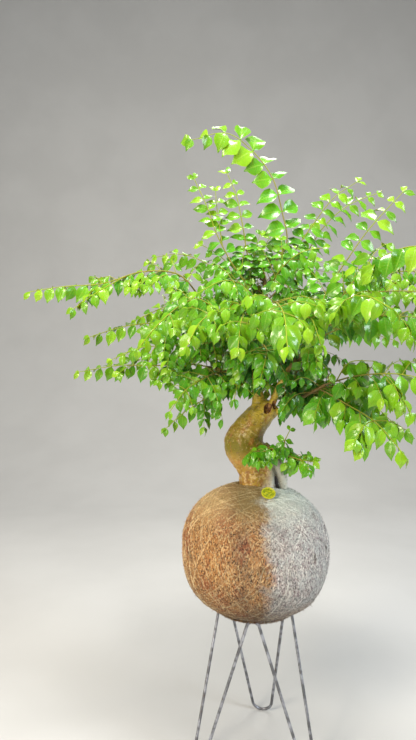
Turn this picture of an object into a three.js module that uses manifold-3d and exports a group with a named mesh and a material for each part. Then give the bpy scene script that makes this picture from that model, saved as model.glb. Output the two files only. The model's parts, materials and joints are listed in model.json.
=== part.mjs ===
// A small-leaved bonsai tree in a kokedama ball, on a stand of three hairpin legs.
// Millimetres, +Z up, origin on the floor under the middle of the stand; the front is towards -Y.

import * as THREE from 'three';
import { mergeVertices } from 'three/addons/utils/BufferGeometryUtils.js';
import Module from 'manifold-3d';

const wasm = await Module();
wasm.setup();

// Clearance between pieces that rest on each other
const GAP = 0.3;

// Ball: a flattened sphere of coir fibre, squarer than an ellipsoid, and flattest where it rests
const BALL_RADIUS = 115;
const BALL_CENTRE_Z = 319;
const BALL_ABOVE = { height: 102, squareness: 2.25 };
const BALL_BELOW = { height: 94, squareness: 2.5 };
const COVER_WALL = 7;

// Cover: windings raised from the skin, and the hole that the trunk comes out of
const WINDING_HEIGHT = 0.9;
const COVER_COLUMNS = 40;
const COVER_ROWS = 17;
const COLLAR_ROWS = 5;
const ROOM_COLUMNS = 22;
const ROOM_ROWS = 9;
const HOLE = { x: 12, halfX: 42, halfY: 30, low: 50, high: 120 };

// Soil: flat where the trunk stands, with a round hole for the foot of the trunk
const SOIL_TOP_Z = 407;
const FOOT_RADIUS = 20;
const FOOT_DEPTH = 55;
const FOOT_SIDES = 14;

// Stand: bar, ring and hairpins; angles are seen from above, from +X towards +Y
const BAR_RADIUS = 2.6;
const RING_BAR_RADIUS = 2.8;
const RING_RADIUS = 60.7;
const RING_SUNK = 3.6;
const FOOT_CIRCLE = 98;
const BEND_RADIUS = 16.5;
const BEND_STEP = 20;
const BAR_SIDES = 8;
const GROOVE_SIDES = 6;
const RING_STEPS = 24;
const HAIRPINS = [
  { name: 'leg_back', foot: 77, ends: [28, 133.5] },
  { name: 'leg_left', foot: 202, ends: [147, 256.8] },
  { name: 'leg_right', foot: -36, ends: [-91, 19] },
];

// Tag: a blank disc with a raised rim, pinned into the cover in front of the trunk
const TAG = { x: 16, y: -50, lift: 4.4, tilt: 36, radius: 10.5, thickness: 1.4, rim: 0.3, rimWidth: 1.3 };
const TAG_PIN = { radius: 0.9, length: 8, sunk: 0.2 };

// Lengths of the plain bodies that only cut others
const BEYOND_BALL = 150;
const BEYOND_SOIL = 60;

// Trunk: points along its middle, each with its half width across and from front to back
const TRUNK_SIDES = 14;
const TRUNK_LUMPS = [[0.035, 3, 9], [0.02, 5, -17]];
const FOOT_OVERLAP = 12;
const TRUNK = [
  { at: [4, 0, SOIL_TOP_Z + GAP], half: [30, 26] },
  { at: [3, 0, 420], half: [28, 24] },
  { at: [2, 0, 438], half: [27, 24] },
  { at: [-4, 0, 456], half: [29, 25] },
  { at: [-13, 0, 474], half: [31, 26] },
  { at: [-15, 0, 489], half: [31, 27] },
  { at: [-9, 0, 505], half: [25.5, 25] },
  { at: [1, 0, 519], half: [22.5, 22] },
  { at: [11, 0, 531], half: [20.5, 20] },
  { at: [21, -2, 541], half: [18, 17] },
  { at: [26, -3, 548], half: [13, 13] },
];

// Roots at the foot of the trunk: [points, half width at the top, half width at the bottom]
const ROOTS = [
  [[[10, -2, 476], [27, -6, 462], [38, -8, 446], [43, -8, 428], [45, -8, 406]], 14, 5.5],
  [[[10, -12, 472], [19, -18, 452], [23, -20, 432], [24, -21, 406]], 9, 4],
  [[[14, 8, 468], [26, 13, 448], [32, 15, 428], [34, 15, 406]], 10, 5.5],
  [[[-6, -8, 462], [-12, -12, 436], [-13, -13, 406]], 12, 8],
  [[[-6, 8, 460], [-12, 12, 436], [-13, 13, 406]], 12, 8],
];

// Rotted hollow in the cut stump, and the slit behind it
const STUMP_HOLLOWS = [
  { at: [20, -19, 538], half: [5, 6, 8], turn: 0.5 },
  { at: [33, -15, 544], half: [3.8, 7, 9], turn: -0.2 },
];

// Bare limbs: points, and the half width at each end
const LIMB_SIDES = 5;
const LIMB_TAPER = 0.55;
const ROOT_SIDES = 7;
const ROOT_STEPS = 3;
const LIMBS = {
  leader: {
    points: [[2, 0, 524], [6, 0, 548], [4, 0, 572], [12, 4, 612], [6, 2, 660], [18, 8, 710], [15, 14, 755]],
    half: [15, 3],
  },
  left: { points: [[5, 0, 598], [-25, -18, 640], [-50, -35, 668], [-80, -48, 700]], half: [5, 2.4] },
  left_low: { points: [[4, 0, 574], [-25, -10, 592], [-60, -28, 602]], half: [4.5, 2.2] },
  right: { points: [[24, -3, 540], [42, -40, 592], [70, -80, 635], [90, -120, 670]], half: [7, 2.4] },
  right_low: { points: [[26, 2, 526], [54, -30, 550], [90, -98, 580]], half: [5, 2.4] },
  far_right: { points: [[8, 2, 640], [60, 0, 672], [110, 2, 700], [150, 5, 722]], half: [4.5, 2.2] },
  back: { points: [[9, 4, 605], [35, 70, 640], [65, 130, 690]], half: [5, 2.4] },
  back_left: { points: [[6, 2, 632], [-25, 60, 665], [-62, 112, 702]], half: [5, 2.4] },
  front: { points: [[6, 0, 632], [-8, -50, 652], [-5, -100, 668]], half: [4.5, 2.2] },
  low: { points: [[8, -14, 482], [26, -34, 478], [36, -43, 474]], half: [3.5, 2] },
};

// Leaf: its two edges as [place along the length, half width], both as a share of the length
const LEAF_EDGES = [[[0.22, 0.27], [0.6, 0.25]], [[0.32, 0.3], [0.7, 0.19]]];
const LEAF_THICKNESS = 0.7;
const LEAF_FOLD = 0.09;
const LEAF_WAVE = 0.05;
const LEAF_TIP_DROP = 0.1;
const LEAF_SIZES = [0.85, 1.1];
const LEAF_ROLL = 0.4;
const DROOP_CHANGE = [-0.15, 0.25];
const YOUNGEST = 0.6;
const GROWN_PAIR = 3;
const FACE_OUTWARD = 0.6;
const SPREAD = 0.5;
const TIP_SPREAD = 1.3;
const SPREAD_CHANGE = 0.15;
const PAIR_SPACING = 17;
const PAIR_STEP = 3;
const TIP_LENGTH = 3;
const BARE_LENGTH = 30;
const STEM_SIDES = 3;
const STEM_HALF = [1.5, 0.8];
const LEAF_CLEARANCE = 6;
const LIMB_CLEARANCE = 2;
const LIMB_SAMPLE = 8;
const STEM_SAMPLE = 6;
// Leaves spread in a plane that faces the sky in front, and turn their faces to the window.
// The plane rises the more, the further its leaves droop.
const SKY_FRONT = new THREE.Vector3(0.1, -1, 0);
const SKY_RISE = [0.35, 0.8];
const WINDOW = new THREE.Vector3(0.1, -1, 0.5).normalize();
const SEED = 40;

// Shoots: the limb, the place along it, leaf length, droop of the leaves and points passed.
// A twig leaves its shoot at a place along it and passes its own points. Pairs stand wider where
// a shoot has a spacing of its own.
const SHOOTS = {
  top_tall: { limb: 'leader', place: 1, leaf: 38, droop: 0.15, spacing: 26,
    points: [[50, 5, 795], [42, 0, 850], [26, -5, 900], [-10, -10, 943], [-45, -15, 963], [-100, -20, 950]] },
  top_a: { limb: 'leader', place: 0.93, leaf: 22, droop: 0.1,
    points: [[-8, -8, 765], [-20, -18, 820], [-30, -22, 865], [-45, -25, 900]] },
  top_b: { limb: 'leader', place: 0.85, leaf: 22, droop: 0.1,
    points: [[-25, -22, 745], [-58, -30, 800], [-75, -35, 845], [-95, -35, 888]] },
  top_mid: { limb: 'leader', place: 0.97, leaf: 24, droop: 0.3,
    points: [[18, 35, 775], [22, 55, 805], [40, 70, 835]] },
  top_right: { limb: 'leader', place: 0.9, leaf: 25, droop: 0.3,
    points: [[50, 12, 768], [90, 10, 825], [125, 5, 870], [162, 0, 895]] },
  top_far: { limb: 'leader', place: 0.82, leaf: 25, droop: 0.3,
    points: [[70, 35, 760], [118, 45, 835], [160, 48, 872], [210, 50, 893]] },
  right_tuft: { limb: 'leader', place: 0.87, leaf: 24, droop: 0.3,
    points: [[40, -35, 755], [66, -60, 772], [95, -70, 775]] },
  left_high: { limb: 'leader', place: 0.78, leaf: 24, droop: 0.4,
    points: [[-42, 22, 746], [-80, 28, 774], [-118, 34, 788], [-160, 40, 784]] },
  front_high: { limb: 'leader', place: 0.76, leaf: 25, droop: 0.6,
    points: [[-18, -45, 722], [-52, -92, 724], [-88, -122, 702]] },
  left_long: { limb: 'left', place: 1, leaf: 25, droop: 0.7,
    points: [[-115, -58, 738], [-168, -62, 742], [-225, -62, 725], [-285, -58, 721], [-337, -52, 714]],
    twigs: [[0.48, [[-232, -82, 708], [-262, -92, 684]]]] },
  left_tuft: { limb: 'left', place: 0.85, leaf: 24, droop: 0.4,
    points: [[-100, -8, 706], [-142, 2, 698], [-182, 8, 680]] },
  left_arch: { limb: 'left', place: 0.92, leaf: 26, droop: 0.7,
    points: [[-98, -98, 696], [-135, -132, 664], [-166, -145, 625]] },
  left_mid: { limb: 'left', place: 0.7, leaf: 24, droop: 0.5,
    points: [[-95, -38, 676], [-145, -46, 670], [-195, -50, 664], [-250, -52, 647]] },
  left_young: { limb: 'left', place: 0.45, leaf: 22, droop: 0.35,
    points: [[-85, -48, 638], [-135, -65, 635], [-175, -75, 630], [-212, -80, 613]] },
  left_straight: { limb: 'left_low', place: 1, leaf: 24, droop: 0.55,
    points: [[-100, -28, 608], [-150, -30, 606], [-210, -28, 606], [-272, -25, 596]] },
  left_droop: { limb: 'left_low', place: 0.8, leaf: 24, droop: 0.8,
    points: [[-75, -72, 590], [-104, -98, 572], [-126, -112, 542]] },
  left_under: { limb: 'left_low', place: 0.55, leaf: 25, droop: 0.8,
    points: [[-45, 18, 578], [-82, 24, 550], [-115, 22, 528], [-142, 18, 504]] },
  hang_left: { limb: 'left_low', place: 0.9, leaf: 24, droop: 0.9,
    points: [[-62, -50, 585], [-60, -62, 555]] },
  hang_front: { limb: 'left_low', place: 0.45, leaf: 24, droop: 0.9,
    points: [[-28, -48, 588], [-36, -72, 556]] },
  front_left: { limb: 'front', place: 0.72, leaf: 28, droop: 0.8,
    points: [[-46, -112, 680], [-80, -158, 664], [-100, -182, 628]] },
  front_mid: { limb: 'front', place: 0.92, leaf: 28, droop: 0.8,
    points: [[-20, -135, 680], [-32, -180, 662], [-38, -205, 625]] },
  front_long: { limb: 'front', place: 1, leaf: 31, droop: 0.9,
    points: [[8, -150, 686], [14, -215, 668], [12, -262, 625]] },
  front_under: { limb: 'front', place: 0.5, leaf: 26, droop: 0.8,
    points: [[8, -80, 632], [4, -125, 618], [-6, -152, 588]] },
  front_right: { limb: 'right', place: 0.72, leaf: 28, droop: 0.8,
    points: [[52, -128, 668], [54, -182, 662], [58, -216, 628]] },
  right_diag: { limb: 'right', place: 0.84, leaf: 26, droop: 0.5,
    points: [[92, -82, 705], [122, -90, 755], [150, -96, 795], [195, -105, 845]] },
  right_arch: { limb: 'right', place: 1, leaf: 32, droop: 0.9,
    points: [[112, -150, 712], [140, -198, 738], [165, -240, 738], [188, -268, 712]] },
  right_front: { limb: 'right', place: 0.93, leaf: 32, droop: 0.9,
    points: [[92, -160, 684], [112, -205, 688], [132, -242, 668]] },
  right_long: { limb: 'right', place: 0.88, leaf: 32, droop: 1,
    points: [[125, -112, 672], [175, -140, 670], [225, -160, 662], [268, -170, 642]] },
  right_young: { limb: 'right', place: 0.6, leaf: 26, droop: 0.6,
    points: [[100, -62, 652], [142, -68, 664], [186, -72, 662]] },
  right_low: { limb: 'right_low', place: 1, leaf: 34, droop: 1,
    points: [[125, -122, 592], [171, -150, 595], [221, -172, 583]] },
  right_hang: { limb: 'right_low', place: 0.9, leaf: 34, droop: 0.9,
    points: [[108, -132, 556], [138, -165, 534], [164, -182, 500]] },
  right_side: { limb: 'right_low', place: 0.78, leaf: 28, droop: 0.8,
    points: [[112, -72, 566], [152, -82, 556], [186, -90, 526]] },
  right_inner: { limb: 'right_low', place: 0.5, leaf: 25, droop: 0.7,
    points: [[60, -12, 566], [82, 10, 548], [98, 24, 522]] },
  far_top: { limb: 'far_right', place: 1, leaf: 26, droop: 0.7,
    points: [[200, 0, 748], [262, -8, 752], [333, -18, 728]] },
  far_front: { limb: 'far_right', place: 0.86, leaf: 26, droop: 0.7,
    points: [[172, -42, 715], [228, -68, 712], [292, -88, 690]] },
  far_back: { limb: 'far_right', place: 0.74, leaf: 26, droop: 0.7,
    points: [[161, 53, 709], [215, 91, 712], [267, 121, 690]] },
  far_low: { limb: 'far_right', place: 0.5, leaf: 26, droop: 0.8,
    points: [[120, 30, 668], [180, 45, 664], [238, 52, 648]] },
  back_tall: { limb: 'back', place: 1, leaf: 26, droop: 0.4,
    points: [[72, 150, 735], [82, 165, 785], [96, 176, 830]] },
  back_long: { limb: 'back', place: 0.92, leaf: 27, droop: 0.8,
    points: [[72, 180, 702], [82, 231, 700], [92, 263, 672]] },
  back_right: { limb: 'back', place: 0.78, leaf: 27, droop: 0.8,
    points: [[112, 128, 678], [165, 158, 682], [212, 182, 660]] },
  back_mid: { limb: 'back', place: 0.6, leaf: 26, droop: 0.8,
    points: [[22, 130, 648], [4, 185, 640], [-10, 228, 608]] },
  back_low: { limb: 'back', place: 0.42, leaf: 26, droop: 0.9,
    points: [[62, 82, 612], [95, 118, 590], [118, 140, 552]] },
  back_left_long: { limb: 'back_left', place: 1, leaf: 27, droop: 0.7,
    points: [[-85, 160, 722], [-100, 215, 722], [-108, 262, 698]] },
  back_left_side: { limb: 'back_left', place: 0.85, leaf: 26, droop: 0.7,
    points: [[-102, 108, 704], [-155, 122, 708], [-208, 132, 688]] },
  back_left_low: { limb: 'back_left', place: 0.55, leaf: 26, droop: 0.9,
    points: [[-62, 92, 648], [-105, 125, 626], [-138, 148, 590]] },
  low_right: { limb: 'low', place: 1, leaf: 25, droop: 0.35,
    points: [[52, -46, 470], [68, -50, 466], [84, -52, 465]] },
  low_left: { limb: 'low', place: 0.75, leaf: 25, droop: 0.4,
    points: [[14, -50, 480], [-4, -52, 477], [-18, -50, 470]] },
  low_up: { limb: 'low', place: 0.9, leaf: 20, droop: 0.3,
    points: [[42, -34, 492], [52, -28, 510]] },
};

// Colours of the pieces
const COLOURS = {
  coir: [0xb08a5c, 0.95, 0],
  soil: [0x3d2b1f, 1, 0],
  bark: [0x8a7440, 0.7, 0],
  steel: [0x4a4c50, 0.4, 0.9],
  tag: [0xb6b828, 0.55, 0],
  leaf: [0x6cbf1e, 0.4, 0],
};

const vec = (p) => new THREE.Vector3(...p);
const radians = THREE.MathUtils.degToRad;
const { lerp } = THREE.MathUtils;
const UP = new THREE.Vector3(0, 0, 1);
const FRONT_TO_BACK = new THREE.Vector3(0, 1, 0);

// A closed three.js geometry as a solid that can be cut and joined
function solid(geometry) {
  const bare = geometry.clone();
  bare.deleteAttribute('normal');
  bare.deleteAttribute('uv');
  const merged = mergeVertices(bare, 1e-4);
  return new wasm.Manifold(new wasm.Mesh({
    numProp: 3,
    vertProperties: new Float32Array(merged.attributes.position.array),
    triVerts: new Uint32Array(merged.index.array),
  }));
}

// The largest body of a solid, as a three.js geometry; loose scraps are dropped
function geometryOf(body) {
  const [largest] = body.decompose().sort((a, b) => b.volume() - a.volume());
  const mesh = largest.getMesh();
  const geometry = new THREE.BufferGeometry();
  geometry.setAttribute('position', new THREE.BufferAttribute(new Float32Array(mesh.vertProperties), 3));
  geometry.setIndex(new THREE.BufferAttribute(new Uint32Array(mesh.triVerts), 1));
  return geometry;
}

function geometryFrom(points, faces) {
  const geometry = new THREE.BufferGeometry();
  const numbers = points.flatMap((p) => p.toArray());
  geometry.setAttribute('position', new THREE.Float32BufferAttribute(numbers, 3));
  geometry.setIndex(faces.flat());
  return geometry;
}

function joined(bodies) {
  return bodies.reduce((all, body) => all.add(body));
}

function curveThrough(points) {
  return new THREE.CatmullRomCurve3(points, false, 'centripetal');
}

// The same random numbers on every run
function randomFrom(seed) {
  let state = seed;
  return () => {
    state = (state + 0x6d2b79f5) | 0;
    let mixed = Math.imul(state ^ (state >>> 15), 1 | state);
    mixed = (mixed + Math.imul(mixed ^ (mixed >>> 7), 61 | mixed)) ^ mixed;
    return ((mixed ^ (mixed >>> 14)) >>> 0) / 4294967296;
  };
}

// A closed skin over rings of points; turned(i, j) gives a quad its other diagonal
function skinOverRings(rings, turned = () => false) {
  const sides = rings[0].length;
  const middle = (ring) => ring.reduce((sum, p) => sum.add(p), new THREE.Vector3()).divideScalar(sides);
  const points = [...rings.flat(), middle(rings[0]), middle(rings.at(-1))];
  const start = points.length - 2;
  const end = points.length - 1;
  const last = (rings.length - 1) * sides;
  const faces = [];
  for (let j = 0; j < sides; j += 1) {
    const k = (j + 1) % sides;
    for (let i = 0; i < rings.length - 1; i += 1) {
      const [a, b] = [i * sides + j, i * sides + k];
      const [c, d] = [b + sides, a + sides];
      if (turned(i, j)) faces.push([a, b, d], [b, c, d]);
      else faces.push([a, b, c], [a, c, d]);
    }
    faces.push([start, k, j], [end, last + j, last + k]);
  }
  return geometryFrom(points, faces);
}

// A tapering limb along a curve; halfAt gives its half widths at a place from 0 to 1
function taper(curve, steps, sides, halfAt, reference) {
  const rings = [];
  for (let i = 0; i <= steps; i += 1) {
    const place = i / steps;
    const middle = curve.getPoint(place);
    const along = curve.getTangent(place);
    const across = new THREE.Vector3().crossVectors(reference, along).normalize();
    const other = new THREE.Vector3().crossVectors(along, across);
    const ring = [];
    for (let j = 0; j < sides; j += 1) {
      const angle = (2 * Math.PI * j) / sides;
      const [halfAcross, halfOther] = halfAt(place, angle);
      const point = middle.clone().addScaledVector(across, halfAcross * Math.cos(angle));
      ring.push(point.addScaledVector(other, halfOther * Math.sin(angle)));
    }
    rings.push(ring);
  }
  return skinOverRings(rings);
}

// The axis that a run of points crosses most squarely
function squareTo(points) {
  const run = points.at(-1).clone().sub(points[0]);
  const axes = [[1, 0, 0], [0, 1, 0], [0, 0, 1]].map(vec);
  return axes.sort((a, b) => Math.abs(a.dot(run)) - Math.abs(b.dot(run)))[0];
}

// A surface of the ball, sunk by a depth, with relief given for each point
function ballSurface(sunk, columns, rows, reliefAt = () => 0, turned = () => false) {
  const rings = [];
  for (let row = 0; row <= rows; row += 1) {
    const rise = -Math.PI / 2 + (Math.PI * (row + 0.5)) / (rows + 1);
    const half = rise > 0 ? BALL_ABOVE : BALL_BELOW;
    const power = 2 / half.squareness;
    const ring = [];
    for (let column = 0; column < columns; column += 1) {
      const angle = (2 * Math.PI * column) / columns;
      const relief = reliefAt(column, row) - sunk;
      const reach = (BALL_RADIUS + relief) * Math.cos(rise) ** power;
      const height = (half.height + relief) * Math.sign(rise) * Math.abs(Math.sin(rise)) ** power;
      ring.push(vec([reach * Math.cos(angle), reach * Math.sin(angle), BALL_CENTRE_Z + height]));
    }
    rings.push(ring);
  }
  return skinOverRings(rings, turned);
}

// Height of the ball's surface over a point of the floor plan, on its upper or lower side
function ballHeight(x, y, side = 1) {
  const share = Math.min(1, Math.hypot(x, y) / BALL_RADIUS);
  const { height, squareness } = side > 0 ? BALL_ABOVE : BALL_BELOW;
  return BALL_CENTRE_Z + side * height * (1 - share ** squareness) ** (1 / squareness);
}

// Threads cross each other round the ball, and run in rings near the trunk
function windingRelief(column, row) {
  if (row > COVER_ROWS - COLLAR_ROWS) return row % 2 === 0 ? WINDING_HEIGHT : 0;
  if (row < COLLAR_ROWS) return 0;
  const crossing = (column + row) % 4 === 0 || (column + 3 * row) % 4 === 0;
  return crossing ? WINDING_HEIGHT : 0;
}

// A quad that a falling thread crosses is split along it
function threadFalls(row, column) {
  return (column + 1 + row) % 4 === 0;
}

// An upright oval or round post
function post({ x = 0, y = 0, halfX, halfY = halfX, low, high, segments = 32 }) {
  const corners = [];
  for (let i = 0; i < segments; i += 1) {
    const angle = (2 * Math.PI * i) / segments;
    corners.push(new THREE.Vector2(x + halfX * Math.cos(angle), y + halfY * Math.sin(angle)));
  }
  const settings = { depth: high - low, bevelEnabled: false };
  const geometry = new THREE.ExtrudeGeometry(new THREE.Shape(corners), settings);
  return solid(geometry.translate(0, 0, low));
}

// A turned piece: its profile goes round the upright axis
function turnedPiece(profile, segments) {
  const outline = profile.map((p) => new THREE.Vector2(...p));
  return new THREE.LatheGeometry(outline, segments).rotateX(Math.PI / 2);
}

// The tag leans back: its lower edge lies near the cover, and its pin goes into it
function tagPlace() {
  const seat = ballHeight(TAG.x, TAG.y) + TAG.lift;
  const lean = new THREE.Matrix4().makeRotationX(radians(TAG.tilt));
  return new THREE.Matrix4().makeTranslation(TAG.x, TAG.y, seat).multiply(lean);
}

function tagPin(radius, length) {
  const profile = [[0, -length], [radius, -length], [radius, TAG_PIN.sunk], [0, TAG_PIN.sunk]];
  return solid(turnedPiece(profile, 8).applyMatrix4(tagPlace()));
}

function makeTag() {
  const { radius, thickness, rim, rimWidth } = TAG;
  const profile = [
    [0, 0], [radius - rim, 0], [radius, rim], [radius, thickness], [radius - rim, thickness + rim],
    [radius - rimWidth, thickness + rim], [radius - rimWidth - rim, thickness - rim], [0, thickness - rim],
  ];
  const disc = solid(turnedPiece(profile, 16).applyMatrix4(tagPlace()));
  return disc.add(tagPin(TAG_PIN.radius, TAG_PIN.length));
}

function makeCover() {
  const skin = solid(ballSurface(0, COVER_COLUMNS, COVER_ROWS, windingRelief, threadFalls));
  const room = solid(ballSurface(COVER_WALL, ROOM_COLUMNS, ROOM_ROWS));
  const hole = post({ ...HOLE, low: BALL_CENTRE_Z + HOLE.low, high: BALL_CENTRE_Z + HOLE.high });
  const pinHole = tagPin(TAG_PIN.radius + GAP, TAG_PIN.length + GAP);
  const groove = ringOfBar((RING_BAR_RADIUS + GAP) / Math.cos(Math.PI / GROOVE_SIDES), GROOVE_SIDES);
  return skin.subtract(room).subtract(hole).subtract(pinHole).subtract(groove);
}

// The foot of the trunk, or its hole in the soil when it is grown by a gap
function footPost(grow = 0) {
  const low = SOIL_TOP_Z - FOOT_DEPTH - grow;
  return post({ halfX: FOOT_RADIUS + grow, low, high: SOIL_TOP_Z + FOOT_OVERLAP, segments: FOOT_SIDES });
}

function makeSoil() {
  const lump = solid(ballSurface(COVER_WALL + 1.5 * GAP, ROOM_COLUMNS, ROOM_ROWS));
  const above = post({ halfX: BEYOND_BALL, low: SOIL_TOP_Z, high: SOIL_TOP_Z + BEYOND_SOIL });
  return lump.subtract(above).subtract(footPost(GAP));
}

function limbCurve(name, extra = 0) {
  const points = LIMBS[name].points.map(vec);
  const end = points.pop();
  const outward = end.clone().sub(points.at(-1)).normalize();
  return curveThrough([...points, end.addScaledVector(outward, extra)]);
}

// One bare limb, or the space round it when it is grown by a gap
function limbSolid(name, grow = 0) {
  const [thick, thin] = LIMBS[name].half;
  const curve = limbCurve(name, grow);
  const halfAt = (place) => Array(2).fill(lerp(thick, thin, place ** LIMB_TAPER) + grow);
  const steps = 2 * curve.points.length - 2;
  return solid(taper(curve, steps, LIMB_SIDES, halfAt, squareTo(curve.points)));
}

function makeRoot([points, top, bottom]) {
  const halfAt = (place) => Array(2).fill(lerp(top, bottom, place));
  return solid(taper(curveThrough(points.map(vec)), ROOT_STEPS, ROOT_SIDES, halfAt, FRONT_TO_BACK));
}

function makeTrunk() {
  const curve = curveThrough(TRUNK.map((section) => vec(section.at)));
  const last = TRUNK.length - 1;
  const halfAt = (place, angle) => {
    const index = Math.min(Math.floor(place * last), last - 1);
    const lumps = TRUNK_LUMPS.reduce((sum, [height, round, along]) => (
      sum + height * Math.sin(round * angle + along * place)), 1);
    const [lower, upper] = [TRUNK[index].half, TRUNK[index + 1].half];
    return [0, 1].map((axis) => lumps * lerp(lower[axis], upper[axis], place * last - index));
  };
  const stem = solid(taper(curve, last, TRUNK_SIDES, halfAt, FRONT_TO_BACK));
  const below = post({ halfX: BEYOND_BALL, low: SOIL_TOP_Z - BEYOND_SOIL, high: SOIL_TOP_Z + GAP });
  const standing = joined([stem, ...ROOTS.map(makeRoot)]).subtract(below);
  const hollows = STUMP_HOLLOWS.map(({ at, half, turn }) => (
    solid(new THREE.IcosahedronGeometry(1, 1).scale(...half).rotateY(turn).translate(...at))
  ));
  const limbs = Object.keys(LIMBS).map((name) => limbSolid(name));
  return joined([standing, footPost(), ...limbs]).subtract(joined(hollows));
}

// The ring lies in a groove that it pressed into the soft coir
function ringHeight() {
  const rim = ballHeight(RING_RADIUS, 0, -1);
  const slope = Math.atan2(rim - ballHeight(RING_RADIUS - 2, 0, -1), 2);
  return rim + RING_SUNK - (RING_BAR_RADIUS + GAP) / Math.cos(slope);
}

function ringOfBar(barRadius, sides = BAR_SIDES) {
  const ring = new THREE.TorusGeometry(RING_RADIUS, barRadius, sides, RING_STEPS);
  return solid(ring.translate(0, 0, ringHeight()));
}

// A bar bent through stations; each straight end between two stations takes a single step
class BentBar extends THREE.Curve {
  constructor(stations) {
    super();
    this.stations = stations;
  }

  getPoint(place) {
    const along = place * (this.stations.length - 1);
    const index = Math.min(Math.floor(along), this.stations.length - 2);
    return this.stations[index].clone().lerp(this.stations[index + 1], along - index);
  }

  getUtoTmapping(place) {
    return place;
  }
}

// Angle at which a straight end leaves the bend: side is -1 before the bend and 1 after it
function leavingAngle(across, up, side) {
  return Math.atan2(up, across) - side * Math.acos(BEND_RADIUS / Math.hypot(across, up));
}

function onCircle(degrees, radius, z) {
  return vec([radius * Math.cos(radians(degrees)), radius * Math.sin(radians(degrees)), z]);
}

// A hairpin: two straight ends from the ring and one bend, whose lowest chord lies flat on the floor
function makeHairpin({ foot, ends }) {
  const [first, second] = ends.map((degrees) => onCircle(degrees, RING_RADIUS, ringHeight()));
  const halfStep = radians(BEND_STEP / 2);
  const low = onCircle(foot, FOOT_CIRCLE, BAR_RADIUS * Math.cos(Math.PI / BAR_SIDES) * Math.cos(halfStep));
  const across = second.clone().sub(first).normalize();
  const rise = first.clone().sub(low);
  const up = rise.clone().addScaledVector(across, -rise.dot(across)).normalize();
  const centre = low.clone().addScaledVector(up, BEND_RADIUS * Math.cos(halfStep));
  const place = (angle) => centre.clone()
    .addScaledVector(across, BEND_RADIUS * Math.cos(angle))
    .addScaledVector(up, BEND_RADIUS * Math.sin(angle));
  const seen = (point) => [point.clone().sub(centre).dot(across), point.clone().sub(centre).dot(up)];
  const start = leavingAngle(...seen(first), -1) - 2 * Math.PI;
  const end = leavingAngle(...seen(second), 1);
  const angles = [];
  const mostSteps = Math.ceil(Math.PI / (2 * halfStep));
  for (let i = -mostSteps; i < mostSteps; i += 1) {
    const angle = -Math.PI / 2 + (2 * i + 1) * halfStep;
    if (angle > start + halfStep && angle < end - halfStep) angles.push(angle);
  }
  const stations = [first, place(start), ...angles.map(place), place(end), second];
  const bar = new BentBar(stations);
  const steps = stations.length - 1;
  const lowest = angles.findIndex((angle) => angle > -Math.PI / 2) + 1;
  const { normals, binormals } = bar.computeFrenetFrames(steps, false);
  const down = Math.atan2(-binormals[lowest].z, -normals[lowest].z);
  const corners = [];
  for (let j = 0; j < BAR_SIDES; j += 1) {
    const angle = down + ((2 * j + 1) * Math.PI) / BAR_SIDES;
    corners.push(new THREE.Vector2(BAR_RADIUS * Math.cos(angle), BAR_RADIUS * Math.sin(angle)));
  }
  const geometry = new THREE.ExtrudeGeometry(new THREE.Shape(corners), { steps, extrudePath: bar });
  return solid(geometry).subtract(ringOfBar(RING_BAR_RADIUS + GAP));
}

// Outline of a leaf from its root round to its root again: [place, side, lift] in leaf lengths
function leafPoints() {
  const [left, right] = LEAF_EDGES.map((edge, index) => edge.map(([place, half], step) => {
    const side = index === 0 ? 1 : -1;
    const wave = step === 0 ? side * LEAF_WAVE : -side * LEAF_WAVE;
    return [place, side * half, LEAF_FOLD + wave];
  }));
  return [[0, 0, 0], ...left, [1, 0, -LEAF_TIP_DROP], ...right.reverse()];
}

// One blade, folded along the rib from root to tip: the same triangles on both faces, with a rim.
// Both faces meet in one root point, which lies inside the stem.
function bladeSolid(points, face) {
  const count = points.length;
  const tip = count / 2;
  const shift = face.clone().multiplyScalar(LEAF_THICKNESS / 2);
  const [root, ...edge] = points;
  const both = [root, ...edge.map((p) => p.clone().add(shift)), ...edge.map((p) => p.clone().sub(shift))];
  const under = (i) => (i === 0 ? 0 : i + count - 1);
  const faces = [];
  for (let i = 1; i < tip; i += 1) {
    const [j, next] = [tip + i, (tip + i + 1) % count];
    faces.push([0, i + 1, i], [0, under(i), under(i + 1)]);
    faces.push([tip, next, j % count], [under(tip), under(j % count), under(next)]);
  }
  for (let i = 0; i < count; i += 1) {
    const next = (i + 1) % count;
    if (next > 0) faces.push([i, next, under(next)]);
    if (i > 0) faces.push([i, under(next), under(i)]);
  }
  return solid(geometryFrom(both, faces));
}

// The points of one leaf that grows from a root, seen along its shoot
function placedLeaf(root, along, side, length, droop, roll, spread) {
  const sky = SKY_FRONT.clone().addScaledVector(UP, SKY_RISE[0] + SKY_RISE[1] * droop);
  const across = new THREE.Vector3().crossVectors(along, sky).normalize().multiplyScalar(side);
  const out = along.clone().multiplyScalar(spread).add(across).addScaledVector(UP, -droop).normalize();
  const face = WINDOW.clone().addScaledVector(across, FACE_OUTWARD * droop);
  face.addScaledVector(out, -face.dot(out)).normalize().applyAxisAngle(out, roll);
  const width = new THREE.Vector3().crossVectors(face, out);
  const points = leafPoints().map(([place, half, lift]) => root.clone()
    .addScaledVector(out, place * length)
    .addScaledVector(width, half * length)
    .addScaledVector(face, lift * length));
  return { points, face };
}

// Keeps each leaf clear of limbs and of the leaves and stems of other shoots
class Clearance {
  constructor() {
    this.taken = [];
  }

  add(owner, points, radius = 0) {
    points.forEach((point) => this.taken.push({ owner, point, radius }));
  }

  isFree(owner, points) {
    return this.taken.every((other) => other.owner === owner
      || points.every((point) => point.distanceTo(other.point) > LEAF_CLEARANCE + other.radius));
  }
}

function spacedPoints(curve, spacing) {
  return curve.getSpacedPoints(Math.ceil(curve.getLength() / spacing));
}

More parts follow.
